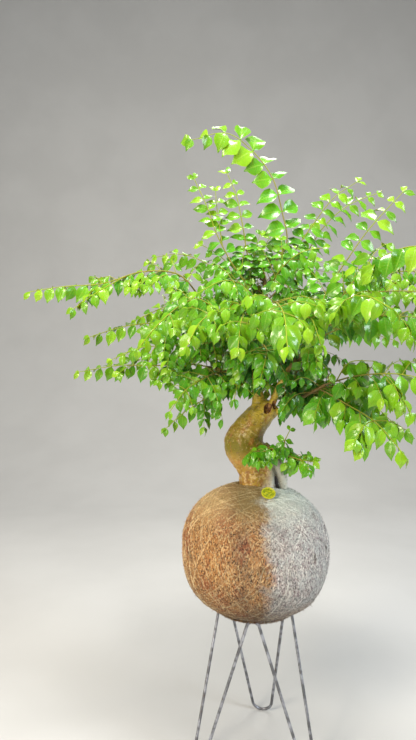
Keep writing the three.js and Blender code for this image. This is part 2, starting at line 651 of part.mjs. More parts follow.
// All leaves of one stem, in pairs from its tip down; a leaf that would cross another shoot is left out
function leavesOn(curve, owner, { leaf, droop, spacing = PAIR_SPACING }, random, clearance) {
  const length = curve.getLength();
  const bare = Math.min(BARE_LENGTH, length / 4);
  const blades = [];
  for (let pair = 0; TIP_LENGTH + pair * spacing < length - bare; pair += 1) {
    const place = 1 - (TIP_LENGTH + pair * spacing) / length;
    const root = curve.getPointAt(place);
    const along = curve.getTangentAt(place);
    for (const side of [1, -1]) {
      const grown = YOUNGEST + (1 - YOUNGEST) * Math.min(1, pair / GROWN_PAIR);
      const size = leaf * grown * lerp(...LEAF_SIZES, random());
      const hang = droop + lerp(...DROOP_CHANGE, random());
      const roll = lerp(-LEAF_ROLL, LEAF_ROLL, random());
      const spread = (pair === 0 ? TIP_SPREAD : SPREAD) + lerp(-SPREAD_CHANGE, SPREAD_CHANGE, random());
      const { points, face } = placedLeaf(root, along, side, size, hang, roll, spread);
      const samples = points.slice(1);
      const kept = pair === 0 || side === (pair % (2 * PAIR_STEP) === 0 ? 1 : -1);
      if (pair % PAIR_STEP === 0 && kept && clearance.isFree(owner, samples)) {
        clearance.add(owner, samples);
        blades.push(bladeSolid(points, face));
      }
    }
  }
  return blades;
}

function stemSolid(curve) {
  const halfAt = (place) => Array(2).fill(lerp(...STEM_HALF, place));
  const steps = Math.ceil(1.25 * curve.points.length);
  return solid(taper(curve, steps, STEM_SIDES, halfAt, squareTo(curve.points)));
}

// Stems of a shoot: its own and its twigs
function shootCurves({ limb, place, points, twigs = [] }) {
  const main = curveThrough([limbCurve(limb).getPoint(place), ...points.map(vec)]);
  return [main, ...twigs.map(([at, passed]) => curveThrough([main.getPointAt(at), ...passed.map(vec)]))];
}

function makeShoots() {
  const clearance = new Clearance();
  Object.keys(LIMBS).forEach((name) => {
    clearance.add('trunk', spacedPoints(limbCurve(name), LIMB_SAMPLE), LIMB_CLEARANCE);
  });
  TRUNK.forEach(({ at, half }) => clearance.add('trunk', [vec(at)], half[0]));
  const names = Object.keys(SHOOTS);
  const curves = names.map((name) => shootCurves(SHOOTS[name]));
  names.forEach((name, index) => curves[index].forEach((curve) => {
    clearance.add(name, spacedPoints(curve, STEM_SAMPLE));
  }));
  return names.map((name, index) => {
    const random = randomFrom(SEED + index);
    const blades = curves[index].flatMap((curve) => leavesOn(curve, name, SHOOTS[name], random, clearance));
    const grown = joined([...curves[index].map(stemSolid), ...blades]);
    return [name, grown.subtract(limbSolid(SHOOTS[name].limb, GAP))];
  });
}

function named(name, body, [colour, roughness, metalness]) {
  const material = new THREE.MeshStandardMaterial({ color: colour, roughness, metalness });
  const mesh = new THREE.Mesh(geometryOf(body), material);
  mesh.name = name;
  return mesh;
}

const plant = new THREE.Group();
plant.add(named('stand_ring', ringOfBar(RING_BAR_RADIUS), COLOURS.steel));
HAIRPINS.forEach((hairpin) => plant.add(named(hairpin.name, makeHairpin(hairpin), COLOURS.steel)));
plant.add(named('soil_ball', makeSoil(), COLOURS.soil));
plant.add(named('coir_cover', makeCover(), COLOURS.coir));
plant.add(named('tag_disc', makeTag(), COLOURS.tag));
plant.add(named('trunk', makeTrunk(), COLOURS.bark));
makeShoots().forEach(([name, body]) => plant.add(named(`shoot_${name}`, body, COLOURS.leaf)));

export default plant;
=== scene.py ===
# %% [markdown]
# # A small tree in a ball of coir, on a stand of hairpin legs
#
# A kokedama is a plant whose root ball is wrapped in fibre and bound with thread, so that it needs
# no pot. This one carries a small-leaved tree with a thick, bent trunk, and it rests in the ring
# of a stand with three hairpin legs of ribbed bar.
#
# A plain model of it exists already. It is the frame here, and says where each piece is and how
# large. The lesson dresses that frame, one piece and one finish at a time. Lengths in the tables
# of shapes are in millimetres, and MM turns them into Blender's metres. The camera, the lamps, the
# floor and the zones of the finishes are in metres.

# %% Load the frame
import json
import math

import bpy
import numpy as np
from mathutils import Matrix, Vector

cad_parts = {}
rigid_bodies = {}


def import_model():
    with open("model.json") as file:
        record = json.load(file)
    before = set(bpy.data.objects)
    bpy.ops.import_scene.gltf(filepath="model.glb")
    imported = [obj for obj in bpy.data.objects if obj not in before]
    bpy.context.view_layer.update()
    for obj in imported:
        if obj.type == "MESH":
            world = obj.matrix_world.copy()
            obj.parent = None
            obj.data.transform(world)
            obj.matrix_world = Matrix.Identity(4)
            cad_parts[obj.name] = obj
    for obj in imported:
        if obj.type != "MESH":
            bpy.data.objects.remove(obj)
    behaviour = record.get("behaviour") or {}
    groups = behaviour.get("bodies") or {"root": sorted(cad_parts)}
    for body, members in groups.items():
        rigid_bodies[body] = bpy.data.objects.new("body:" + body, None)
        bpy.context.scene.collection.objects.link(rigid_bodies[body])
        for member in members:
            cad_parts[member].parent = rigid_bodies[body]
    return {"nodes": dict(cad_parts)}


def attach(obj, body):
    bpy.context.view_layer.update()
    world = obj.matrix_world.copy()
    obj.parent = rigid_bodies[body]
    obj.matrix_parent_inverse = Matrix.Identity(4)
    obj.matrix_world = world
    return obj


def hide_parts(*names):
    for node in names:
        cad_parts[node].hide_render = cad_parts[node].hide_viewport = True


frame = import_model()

MM = 0.001
UP = np.array([0.0, 0.0, 1.0])
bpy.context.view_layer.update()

# %% [markdown]
# ## The camera
#
# The camera stands a little left of the plant, at the height of its lower leaves, and looks almost
# level. The size of the picture and a focal length in pixels give the lens.

# %% Camera
PICTURE = (416, 740)
FOCAL_PX = 526.3
SENSOR_WIDTH = 36
CAMERA_PLACE = (-0.0732, -0.8258, 0.6049)
CAMERA_DOWN_DEGREES = 0.40

camera = bpy.data.objects.new("camera", bpy.data.cameras.new("camera"))
camera.data.sensor_width = SENSOR_WIDTH
camera.data.lens = FOCAL_PX / max(PICTURE) * SENSOR_WIDTH
camera.location = CAMERA_PLACE
camera.rotation_euler = (math.radians(90 - CAMERA_DOWN_DEGREES), 0, 0)
bpy.context.scene.collection.objects.link(camera)
bpy.context.scene.camera = camera
print("lens", round(camera.data.lens, 2), "mm")

# %% [markdown]
# ## Nodes in a few words
#
# Materials and Geometry Nodes are both trees of nodes. One helper adds a node, and gives each input
# either a plain value or the output of an earlier node. Another starts a group with named inputs.

# %% Helpers for node trees
def node(tree, kind, inputs=None, **settings):
    """A new node; an input is given by name or number, as a value or another node's output."""
    new = tree.nodes.new(kind)
    for name, value in settings.items():
        setattr(new, name, value)
    for name, value in (inputs or {}).items():
        if isinstance(value, bpy.types.NodeSocket):
            tree.links.new(value, new.inputs[name])
        else:
            new.inputs[name].default_value = value
    return new


def new_group(name, kind, inputs, outputs):
    """A node group, what goes in and its output node; a socket has a title, a kind and a value."""
    group = bpy.data.node_groups.new(name, kind)
    for title, socket, value in inputs:
        made = group.interface.new_socket(name=title, in_out="INPUT", socket_type="NodeSocket" + socket)
        if value is not None:
            made.default_value = value
    for title, socket in outputs:
        group.interface.new_socket(name=title, in_out="OUTPUT", socket_type="NodeSocket" + socket)
    return group, node(group, "NodeGroupInput").outputs, node(group, "NodeGroupOutput")


def calculate(tree, operation, *values):
    """The result of one Math node."""
    return node(tree, "ShaderNodeMath", dict(enumerate(values)), operation=operation).outputs[0]


def vectors(tree, operation, inputs):
    """The result of one Vector Math node."""
    return node(tree, "ShaderNodeVectorMath", inputs, operation=operation).outputs[0]


print("nodes of Blender", bpy.app.version_string)

# %% [markdown]
# ## Helpers for pieces
#
# Every finished piece rides on the frame's one body and may stand for pieces of the plain model,
# which are then hidden. What Geometry Nodes make is turned into a plain mesh first.

# %% Helpers for pieces
def mesh_from(name, points, faces=(), edges=(), scale=MM):
    """A mesh from points, which are in millimetres unless the scale says otherwise."""
    mesh = bpy.data.meshes.new(name)
    points = np.asarray(points, float) * scale
    mesh.from_pydata([tuple(p) for p in points], [tuple(e) for e in edges], [tuple(f) for f in faces])
    return mesh


def object_from(name, mesh, materials=()):
    made = bpy.data.objects.new(name, mesh)
    bpy.context.scene.collection.objects.link(made)
    for material in materials:
        mesh.materials.append(material)
    return made


def smooth(mesh):
    mesh.polygons.foreach_set("use_smooth", [True] * len(mesh.polygons))
    return mesh


def add_values(mesh, name, kind, values, domain="POINT"):
    """A named attribute: kind is FLOAT, INT, BOOLEAN or FLOAT_VECTOR."""
    attribute = mesh.attributes.new(name, kind, domain)
    field = "vector" if kind == "FLOAT_VECTOR" else "value"
    attribute.data.foreach_set(field, np.asarray(values).ravel())


def plain_mesh(source):
    """The mesh that an object's modifiers make; the object goes."""
    bpy.context.view_layer.update()
    graph = bpy.context.evaluated_depsgraph_get()
    mesh = bpy.data.meshes.new_from_object(source.evaluated_get(graph), preserve_all_data_layers=True,
                                           depsgraph=graph)
    source.modifiers.clear()
    bpy.data.objects.remove(source)
    return mesh


def grown(source, tree, name, settings):
    """Runs a Geometry Nodes tree on an object, and keeps the result as a plain mesh object."""
    sockets = {item.name: item.identifier for item in tree.interface.items_tree if item.in_out == "INPUT"}
    modifier = source.modifiers.new("grow", "NODES")
    modifier.node_group = tree
    for title, value in settings.items():
        modifier[sockets[title]] = value
    mesh = plain_mesh(source)
    mesh.name = name
    return object_from(name, mesh)


def settle(piece, slot, *replaced):
    """The piece is finished: it rides and may stand for pieces of the frame; its slot is not used."""
    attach(piece, "root")
    if replaced:
        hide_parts(*replaced)
    piece.data.calc_loop_triangles()
    print(piece.name, "has", len(piece.data.loop_triangles), "triangles")


# %% [markdown]
# ## Colour that varies
#
# Nothing that grew or was wound has one flat colour. Two shader groups serve every material here.
# "patches" gives a soft mask from noise, stretched along any axis, and "strands" gives thin
# winding lines. Both read object coordinates, so they stay put on the piece.

# %% Shader groups
PATCH_DETAIL = 5.0
STRAND_DETAIL = 1.0
STRAND_WANDER = {"Scale": 60.0, "Detail": 2.0}
NOISE_MIDDLE = 0.5


def object_place(tree):
    return node(tree, "ShaderNodeTexCoord").outputs["Object"]


def noise_in(tree, place, given, detail):
    """Noise with the group's own scale and stretch."""
    stretched = vectors(tree, "MULTIPLY", {0: place, 1: given["Stretch"]})
    return node(tree, "ShaderNodeTexNoise",
                {"Vector": stretched, "Scale": given["Scale"], "Detail": detail}).outputs["Fac"]


def end_mask(group, result, limits):
    mask = node(group, "ShaderNodeMapRange", limits)
    group.links.new(mask.outputs["Result"], result.inputs["Mask"])
    return group


def make_patches():
    group, given, result = new_group(
        "patches", "ShaderNodeTree",
        [("Scale", "Float", 20.0), ("Stretch", "Vector", (1, 1, 1)), ("From", "Float", 0.4),
         ("To", "Float", 0.6)], [("Mask", "Float")])
    noise = noise_in(group, object_place(group), given, PATCH_DETAIL)
    return end_mask(group, result, {"Value": noise, "From Min": given["From"], "From Max": given["To"]})


def make_strands():
    group, given, result = new_group(
        "strands", "ShaderNodeTree",
        [("Scale", "Float", 200.0), ("Stretch", "Vector", (1, 1, 1)), ("Bend", "Float", 0.01),
         ("Width", "Float", 0.08)], [("Mask", "Float")])
    place = object_place(group)
    wander = node(group, "ShaderNodeTexNoise", {"Vector": place, **STRAND_WANDER}).outputs["Color"]
    push = vectors(group, "SCALE", {0: wander, "Scale": given["Bend"]})
    noise = noise_in(group, vectors(group, "ADD", {0: place, 1: push}), given, STRAND_DETAIL)
    middle = calculate(group, "ABSOLUTE", calculate(group, "SUBTRACT", noise, NOISE_MIDDLE))
    return end_mask(group, result, {"Value": middle, "From Min": 0.0, "From Max": given["Width"],
                                    "To Min": 1.0, "To Max": 0.0})


PATCHES = make_patches()
STRANDS = make_strands()
print("shader groups:", PATCHES.name, "and", STRANDS.name)

# %% [markdown]
# ## Writing a material
#
# Each material starts from the Principled shader with its plain numbers set on the shader itself.
# Coats of colour are then laid over each other, the way a painter glazes. A table gives each coat
# its colour, its share, the zone it keeps to and the scale, the two limits and the stretch of its
# patches. A zone may follow an attribute of the mesh. A last helper turns a mask into fine relief.

# %% Helpers for materials
SOFT = (0.3, 0.7)


class Finish:
    """A material in the making: colours are laid over each other, and relief is added."""

    def __init__(self, name, ground, **plain):
        self.material = bpy.data.materials.new(name)
        self.material.use_nodes = True
        self.material.diffuse_color = (*ground, 1)
        self.tree = self.material.node_tree
        self.shader = self.tree.nodes["Principled BSDF"]
        for title, value in plain.items():
            self.shader.inputs[title.replace("_", " ")].default_value = value
        self.colour = node(self.tree, "ShaderNodeRGB").outputs[0]
        self.colour.default_value = (*ground, 1)
        self.bump = None
        self.axes = None

    def mask(self, group, **values):
        return node(self.tree, "ShaderNodeGroup", values, node_tree=group).outputs["Mask"]

    def patches(self, scale, low, high, stretch=1):
        """Soft noise; low and high say where it sets in and is full, and stretch squashes it along z."""
        return self.mask(PATCHES, Scale=scale, Stretch=(1, 1, stretch), From=low, To=high)

    def attribute(self, name, output="Fac"):
        return node(self.tree, "ShaderNodeAttribute", attribute_name=name).outputs[output]

    def range(self, value, low, high, start=0.0, end=1.0):
        return node(self.tree, "ShaderNodeMapRange", {"Value": value, "From Min": low, "From Max": high,
                                                      "To Min": start, "To Max": end}).outputs["Result"]

    def place(self, axis):
        """One of the object coordinates: x, y or z."""
        if not self.axes:
            self.axes = node(self.tree, "ShaderNodeSeparateXYZ", {0: object_place(self.tree)}).outputs
        return self.axes[axis.upper()]

    def within(self, *limits):
        """A mask by place; each limit is an axis, where the mask is 0 and where it is 1."""
        return self.times(*(self.range(self.place(axis), *ends) for axis, *ends in limits))

    def by_attribute(self, name, limits):
        """A zone for each pair of limits of an attribute."""
        value = self.attribute(name)
        return {zone: self.range(value, *ends) for zone, ends in limits.items()}

    def near(self, axis, middle, low, high):
        """A mask by the distance from a place on an axis."""
        offset = calculate(self.tree, "SUBTRACT", self.place(axis), middle)
        return self.range(calculate(self.tree, "ABSOLUTE", offset), low, high)

    def times(self, *masks):
        product = masks[0]
        for mask in masks[1:]:
            product = calculate(self.tree, "MULTIPLY", product, mask)
        return product

    def lay(self, colour, mask, share=1.0):
        """Lays a colour over the ones below it where the mask is light."""
        amount = mask if share == 1.0 else calculate(self.tree, "MULTIPLY", mask, share)
        mix = node(self.tree, "ShaderNodeMix", {0: amount, 6: self.colour, 7: (*colour, 1)}, data_type="RGBA")
        self.colour = mix.outputs[2]

    def coats(self, table, zones=None):
        """Lays the coats of a table; a coat keeps to its zone, if it names one, and to its patches."""
        for colour, share, zone, *patches in table.values():
            masks = [zones[zone]] if zone else []
            if patches:
                masks.append(self.patches(*patches))
            self.lay(colour, self.times(*masks), share)

    def fade(self, mask, saturation, value):
        """Bleaches the colours where the mask is light."""
        washed = node(self.tree, "ShaderNodeHueSaturation",
                      {"Saturation": saturation, "Value": value, "Fac": mask, "Color": self.colour})
        self.colour = washed.outputs["Color"]

    def relief(self, height, depth, strength=1.0):
        """Fine relief; depth is in millimetres."""
        inputs = {"Height": height, "Distance": depth * MM, "Strength": strength}
        if self.bump:
            inputs["Normal"] = self.bump
        self.bump = node(self.tree, "ShaderNodeBump", inputs).outputs["Normal"]

    def rough(self, mask, smoothest, roughest):
        """Roughness that runs between two values with a mask."""
        self.tree.links.new(self.range(mask, 0.0, 1.0, smoothest, roughest), self.shader.inputs["Roughness"])

    def done(self):
        self.tree.links.new(self.colour, self.shader.inputs["Base Color"])
        if self.bump:
            self.tree.links.new(self.bump, self.shader.inputs["Normal"])
        print("material:", self.material.name, "with", len(self.tree.nodes), "nodes")
        return self.material


# %% [markdown]
# ## Light and floor
#
# The plant stands in studio light on a pale floor that curves up into a wall. Glossy leaves need
# large soft lamps to reflect. The lamps on the left are a little warm and the one on the right a
# little cool, which models the round ball, and a low lamp reaches the trunk under the crown. The
# Standard view keeps the strong lime greens, which a filmic view would wash out.

# %% Light and floor
FLOOR_HALF_WIDTH = 3.0
FLOOR_FRONT = -2.6
WALL_BEND_START = 1.4
WALL_BEND_RADIUS = 1.2
WALL_TOP = 4.0
BEND_STEPS = 24
FLOOR_GROUND = (0.60, 0.595, 0.58)
FLOOR_COATS = {"cloud": ((0.57, 0.565, 0.55), 1.0, None, 3, 0.4, 0.6)}
WARM, COOL = (1.0, 0.90, 0.74), (0.82, 0.91, 1.0)
LAMPS = {
    "lamp_left": ((-1.3, -1.3, 1.6), 0.6, 32, WARM),
    "lamp_low": ((-1.1, -1.4, 0.55), 0.6, 11, WARM),
    "lamp_right": ((1.5, -1.0, 1.1), 0.7, 24, COOL),
    "lamp_top": ((0.1, -0.5, 2.2), 0.5, 32, (1.0, 0.98, 0.94)),
    "lamp_back": ((0.3, 1.2, 1.9), 1.0, 12, (1.0, 1.0, 0.96)),
}
LAMP_TARGET = Vector((0, 0, 0.6))
WORLD_COLOUR = (0.94, 0.97, 1.0)
WORLD_STRENGTH = 0.30

bpy.context.scene.view_settings.view_transform = "Standard"
world = bpy.data.worlds.new("studio")
world.use_nodes = True
background = world.node_tree.nodes["Background"]
background.inputs["Color"].default_value = (*WORLD_COLOUR, 1)
background.inputs["Strength"].default_value = WORLD_STRENGTH
bpy.context.scene.world = world

for name, (place, side, watts, colour) in LAMPS.items():
    light = bpy.data.lights.new(name, "AREA")
    light.shape = "SQUARE"
    light.size = side
    light.energy = watts
    light.color = colour
    holder = bpy.data.objects.new(name, light)
    holder.location = place
    holder.rotation_euler = (LAMP_TARGET - holder.location).to_track_quat("-Z", "Y").to_euler()
    bpy.context.scene.collection.objects.link(holder)


def make_floor():
    """A floor that turns up into a wall in a quarter circle, in metres."""
    outline = [(FLOOR_FRONT, 0.0)]
    for step in range(BEND_STEPS + 1):
        angle = math.pi / 2 * step / BEND_STEPS
        outline.append((WALL_BEND_START + WALL_BEND_RADIUS * math.sin(angle),
                        WALL_BEND_RADIUS * (1 - math.cos(angle))))
    outline.append((WALL_BEND_START + WALL_BEND_RADIUS, WALL_TOP))
    points = [(side * FLOOR_HALF_WIDTH, y, z) for y, z in outline for side in (-1, 1)]
    faces = [(2 * i, 2 * i + 1, 2 * i + 3, 2 * i + 2) for i in range(len(outline) - 1)]
    return smooth(mesh_from("floor", points, faces, scale=1))


floor_finish = Finish("pale_floor", FLOOR_GROUND, Roughness=0.9)
floor_finish.coats(FLOOR_COATS)
floor = object_from("floor", make_floor(), [floor_finish.done()])
print("lamps:", ", ".join(LAMPS))

# %% [markdown]
# ## Steel for the stand
#
# The legs and the ring are bent from ribbed bar, grey from the mill and paler where it is worn.
# Fairly low roughness gives the bright flecks on the ribs, and brown specks are the first rust.

# %% Material of the bar
STEEL_COATS = {
    "worn": ((0.44, 0.45, 0.50), 1.0, None, 90, 0.42, 0.66),
    "rust": ((0.16, 0.075, 0.035), 0.6, None, 160, 0.66, 0.74),
}


def make_steel():
    finish = Finish("mill_steel", (0.17, 0.17, 0.18), Metallic=0.9)
    finish.coats(STEEL_COATS)
    finish.rough(finish.patches(240, *SOFT), 0.28, 0.5)
    finish.relief(finish.patches(900, *SOFT), 0.08)
    return finish.done()


STEEL = make_steel()

# %% [markdown]
# ## Steps that trees share
#
# The trees of Geometry Nodes share most of their steps. At the end of each, instances are made real
# and get their material, because only real faces leave Blender.

# %% Helpers for Geometry Nodes
def new_growth(name, *inputs):
    """A tree that takes a geometry and the named inputs, and gives a geometry."""
    return new_group(name, "GeometryNodeTree", [("Geometry", "Geometry", None), *inputs],
                     [("Geometry", "Geometry")])


def geo(tree, kind, inputs, **settings):
    """The first result of a new node of Geometry Nodes."""
    return node(tree, "GeometryNode" + kind, inputs, **settings).outputs[0]


def curve_along(tree, lines):
    return geo(tree, "MeshToCurve", {"Mesh": lines})


def circle(tree, sides, radius):
    return geo(tree, "CurvePrimitiveCircle", {"Resolution": sides, "Radius": radius})


def swept(tree, curve, sides, radius, **more):
    """A round profile swept along a curve, with closed ends."""
    inputs = {"Curve": curve, "Profile Curve": circle(tree, sides, radius), "Fill Caps": True, **more}
    return geo(tree, "CurveToMesh", inputs)


def together(tree, *parts):
    join = node(tree, "GeometryNodeJoinGeometry")
    for part in parts:
        tree.links.new(part, join.inputs[0])
    return join.outputs[0]


def real(tree, geometry):
    return geo(tree, "RealizeInstances", {"Geometry": geometry})


def shaded_smooth(tree, geometry):
    return geo(tree, "SetShadeSmooth", {"Geometry": geometry})


def painted(tree, geometry, material):
    return geo(tree, "SetMaterial", {"Geometry": geometry, "Material": material})


def end_tree(tree, geometry, result):
    tree.links.new(geometry, result.inputs[0])
    print("tree:", tree.name, "with", len(tree.nodes), "nodes")
    return tree


def turned(tree, rotation, axis, angle):
    """A rotation that is turned further about an axis of its own."""
    more = node(tree, "FunctionNodeAxisAngleToRotation", {"Axis": axis, "Angle": angle}).outputs[0]
    return node(tree, "FunctionNodeRotateRotation", {"Rotation": rotation, "Rotate By": more},
                rotation_space="LOCAL").outputs[0]


# %% [markdown]
# ## A bar with ribs
#
# Ribbed bar is round bar with short slanted ribs rolled onto it. In Geometry Nodes a curve becomes
# the bar with Curve to Mesh, and equal steps along it give the places of the ribs. Each rib is a
# thin ring, leaning a little, set there by Instance on Points. One tree serves legs and ring.

# %% Node tree of the ribbed bar
RIB_SIDES = 4


def make_bar_tree():
    tree, given, result = new_growth(
        "ribbed bar", ("Bar Radius", "Float", 2.5 * MM), ("Rib Spacing", "Float", 3.6 * MM),
        ("Rib Height", "Float", 0.35 * MM), ("Rib Lean", "Float", 0.5), ("Sides", "Int", 14),
        ("Material", "Material", None))
    line = curve_along(tree, given["Geometry"])
    bar = swept(tree, line, given["Sides"], given["Bar Radius"])
    rib = swept(tree, circle(tree, given["Sides"], given["Bar Radius"]), RIB_SIDES, given["Rib Height"])
    places = node(tree, "GeometryNodeCurveToPoints", {"Curve": line, "Length": given["Rib Spacing"]},
                  mode="LENGTH").outputs
    lean = turned(tree, places["Rotation"], (1, 0, 0), given["Rib Lean"])
    ribs = geo(tree, "InstanceOnPoints",
               {"Points": places["Points"], "Instance": rib, "Rotation": lean})
    plain = shaded_smooth(tree, real(tree, together(tree, bar, ribs)))
    return end_tree(tree, painted(tree, plain, given["Material"]), result)


BAR_TREE = make_bar_tree()

# %% [markdown]
# ## The routes of the bars
#
# The ball's lower side rests on the ring, and each hairpin is two straight ends from the ring with
# one bend on the floor between them. The driving sizes that made the frame give those lines here,
# so that the fine bars lie exactly in the plain ones.

# %% Sizes of the ball and the stand
GAP = 0.3
BALL_RADIUS = 115
BALL_CENTRE_Z = 319
BALL_ABOVE = (102, 2.25)
BALL_BELOW = (94, 2.5)
BAR_RADIUS = 2.6
RING_BAR_RADIUS = 2.8
RING_RADIUS = 60.7
RING_SUNK = 3.6
SLOPE_STEP = 2
FOOT_CIRCLE = 98
BEND_RADIUS = 16.5
HAIRPINS = {
    "leg_back": {"foot": 77, "ends": (28, 133.5)},
    "leg_left": {"foot": 202, "ends": (147, 256.8)},
    "leg_right": {"foot": -36, "ends": (-91, 19)},
}
BEND_STEP_DEGREES = 9


def ball_height(x, y, side=1):
    """Height of the ball's surface over a point of the floor plan, on its upper or lower side."""
    share = np.minimum(1, np.hypot(x, y) / BALL_RADIUS)
    half_height, squareness = BALL_ABOVE if side > 0 else BALL_BELOW
    return BALL_CENTRE_Z + side * half_height * (1 - share ** squareness) ** (1 / squareness)


def ring_height():
    rim = ball_height(RING_RADIUS, 0, -1)
    slope = math.atan2(rim - ball_height(RING_RADIUS - SLOPE_STEP, 0, -1), SLOPE_STEP)
    return rim + RING_SUNK - (RING_BAR_RADIUS + GAP) / math.cos(slope)


def on_circle(degrees, radius, z):
    angle = math.radians(degrees)
    return np.array([radius * math.cos(angle), radius * math.sin(angle), z])


def unit(vector):
    return vector / np.linalg.norm(vector)


def leaving_angle(across, up, side):
    """Angle at which a straight end leaves the bend."""
    return math.atan2(up, across) - side * math.acos(BEND_RADIUS / math.hypot(across, up))


def hairpin_line(foot, ends):
    """Points along the middle of a hairpin, from one end to the other."""
    first, second = (on_circle(degrees, RING_RADIUS, ring_height()) for degrees in ends)
    low = on_circle(foot, FOOT_CIRCLE, BAR_RADIUS)
    across = unit(second - first)
    rise = first - low
    upward = unit(rise - across * rise.dot(across))
    centre = low + upward * BEND_RADIUS
    start = leaving_angle((first - centre).dot(across), (first - centre).dot(upward), -1) - 2 * math.pi
    end = leaving_angle((second - centre).dot(across), (second - centre).dot(upward), 1)
    steps = round(math.degrees(end - start) / BEND_STEP_DEGREES)
    angles = np.linspace(start, end, steps + 1)
    bend = [centre + across * BEND_RADIUS * math.cos(a) + upward * BEND_RADIUS * math.sin(a) for a in angles]
    short = RING_BAR_RADIUS + GAP
    return [first + unit(bend[0] - first) * short, *bend, second + unit(bend[-1] - second) * short]


def line_object(name, points, closed=False):
    count = len(points)
    edges = [(i, (i + 1) % count) for i in range(count if closed else count - 1)]
    return object_from(name, mesh_from(name, points, edges=edges))


print("the ring's middle line is", round(ring_height(), 1), "mm above the floor")

# %% [markdown]
# ## Legs, ring and welds
#
# Every leg is one bent bar, and the ring is one closed bar. Where a leg meets the ring, the maker
# left a small, uneven bead of weld. The beads belong to the ring's piece.

# %% Build the stand
RING_STEPS = 72
RIB_STEP = 4.2
RIB_ROOM = 0.3
WELD_RADIUS = 3.3
WELD_LUMPS = {"height": 0.12, "along_x": 1900, "along_z": 2300}
WELD_SQUASH = (0.85, 1.15)


def weld_bead(place, seed):
    """A small uneven lump of weld metal."""
    bpy.ops.mesh.primitive_ico_sphere_add(subdivisions=3, radius=WELD_RADIUS * MM, location=place * MM)
    bead = bpy.context.object
    draw = np.random.default_rng(seed)
    shape = Matrix.Diagonal((*draw.uniform(*WELD_SQUASH, 3), 1))
    for vertex in bead.data.vertices:
        waves = math.sin(vertex.co.x * WELD_LUMPS["along_x"] + seed)
        waves *= math.sin(vertex.co.z * WELD_LUMPS["along_z"])
        vertex.co = shape @ (vertex.co * (1 + WELD_LUMPS["height"] * waves))
    smooth(bead.data)
    bead.data.materials.append(STEEL)
    return bead


def joined(name, pieces):
    """Several mesh objects as one, with its place in its mesh."""
    with bpy.context.temp_override(active_object=pieces[0], selected_editable_objects=pieces):
        bpy.ops.object.join()
    whole = pieces[0]
    whole.name = name
    whole.data.name = name
    whole.data.transform(whole.matrix_world)
    whole.matrix_world = Matrix.Identity(4)
    return whole


def ribbed_bar(name, line, radius):
    return grown(line, BAR_TREE, name, {"Bar Radius": (radius - RIB_ROOM) * MM, "Rib Spacing": RIB_STEP * MM,
                                        "Material": STEEL})


for name, sizes in HAIRPINS.items():
    line = line_object(name + "_line", hairpin_line(**sizes))
    settle(ribbed_bar(name + "_bar", line, BAR_RADIUS), "steel", name)

ring_points = [on_circle(360 * i / RING_STEPS, RING_RADIUS, ring_height()) for i in range(RING_STEPS)]
ring_bar = ribbed_bar("ring_bar", line_object("ring_line", ring_points, closed=True), RING_BAR_RADIUS)
ends = [on_circle(degrees, RING_RADIUS, ring_height() - RING_BAR_RADIUS)
        for sizes in HAIRPINS.values() for degrees in sizes["ends"]]
beads = [weld_bead(place, seed) for seed, place in enumerate(ends)]
settle(joined("ring_with_welds", [ring_bar, *beads]), "steel", "stand_ring")

# %% [markdown]
# ## Soil
#
# Almost nothing of the soil shows: a dark line round the foot of the trunk. The plain model's solid
# is right for that, so it stays, and only gets a dark, crumbly finish.

# %% Finish of the soil
SOIL_COATS = {
    "crumbs": ((0.10, 0.065, 0.04), 1.0, None, 180, 0.45, 0.65),
    "gaps": ((0.02, 0.014, 0.01), 1.0, None, 420, 0.55, 0.7),
}


def make_soil_finish():
    finish = Finish("soil", (0.045, 0.030, 0.020), Roughness=0.95)
    finish.coats(SOIL_COATS)
    finish.relief(finish.patches(500, *SOFT), 1.2)
    return finish.done()


soil = frame["nodes"]["soil_ball"]
soil.data.materials.clear()
soil.data.materials.append(make_soil_finish())

# %% [markdown]
# ## The skin of the ball
#
# The ball is a little squarer than a sphere, flatter below, and has soft dents where hands pressed
# it. Rings of points run from the bottom to the hole at the top, over its rounded edge and back
# along the inside, so that the skin is a closed wall. The threads will use the same formula.

# %% Shape of the skin
COVER_WALL = 7
BELOW_PLAIN = 0.6
HOLE = {"x": 12, "half_x": 40, "half_y": 28}
HOLE_SHARE = 0.30
SKIN_COLUMNS = 180
SKIN_ROWS = 96
INNER_ROWS = 14
INNER_BELOW_LIP = 0.03
LIP_STEPS = 6
LIP_RADIUS = 3.2
DENTS = [(1.3, 3, 2.2, 0.4), (1.0, 5, 3.1, 2.0), (0.7, 8, 5.3, 1.1), (0.45, 17, 11.7, 0.2)]
DENT_WANDER = 1.7
DENTS_FROM_SHARE = 0.2
DENT_FADE = (2.5, 0.4)
COLLAR_HEIGHT = 3.2
COLLAR_HEADING = math.radians(-125)
COLLAR_FROM = 0.7


def dents(angle, height, share):
    """Soft dents of the skin in millimetres, none at the poles; height runs from -1 to 1."""
    if share <= DENTS_FROM_SHARE:
        return 0.0
    waves = sum(depth * np.sin(turns * angle + shift + DENT_WANDER * np.sin(along * height + shift))
                * np.cos(along * height - shift) for depth, turns, along, shift in DENTS)
    return waves * min(1.0, DENT_FADE[0] * share - DENT_FADE[1])


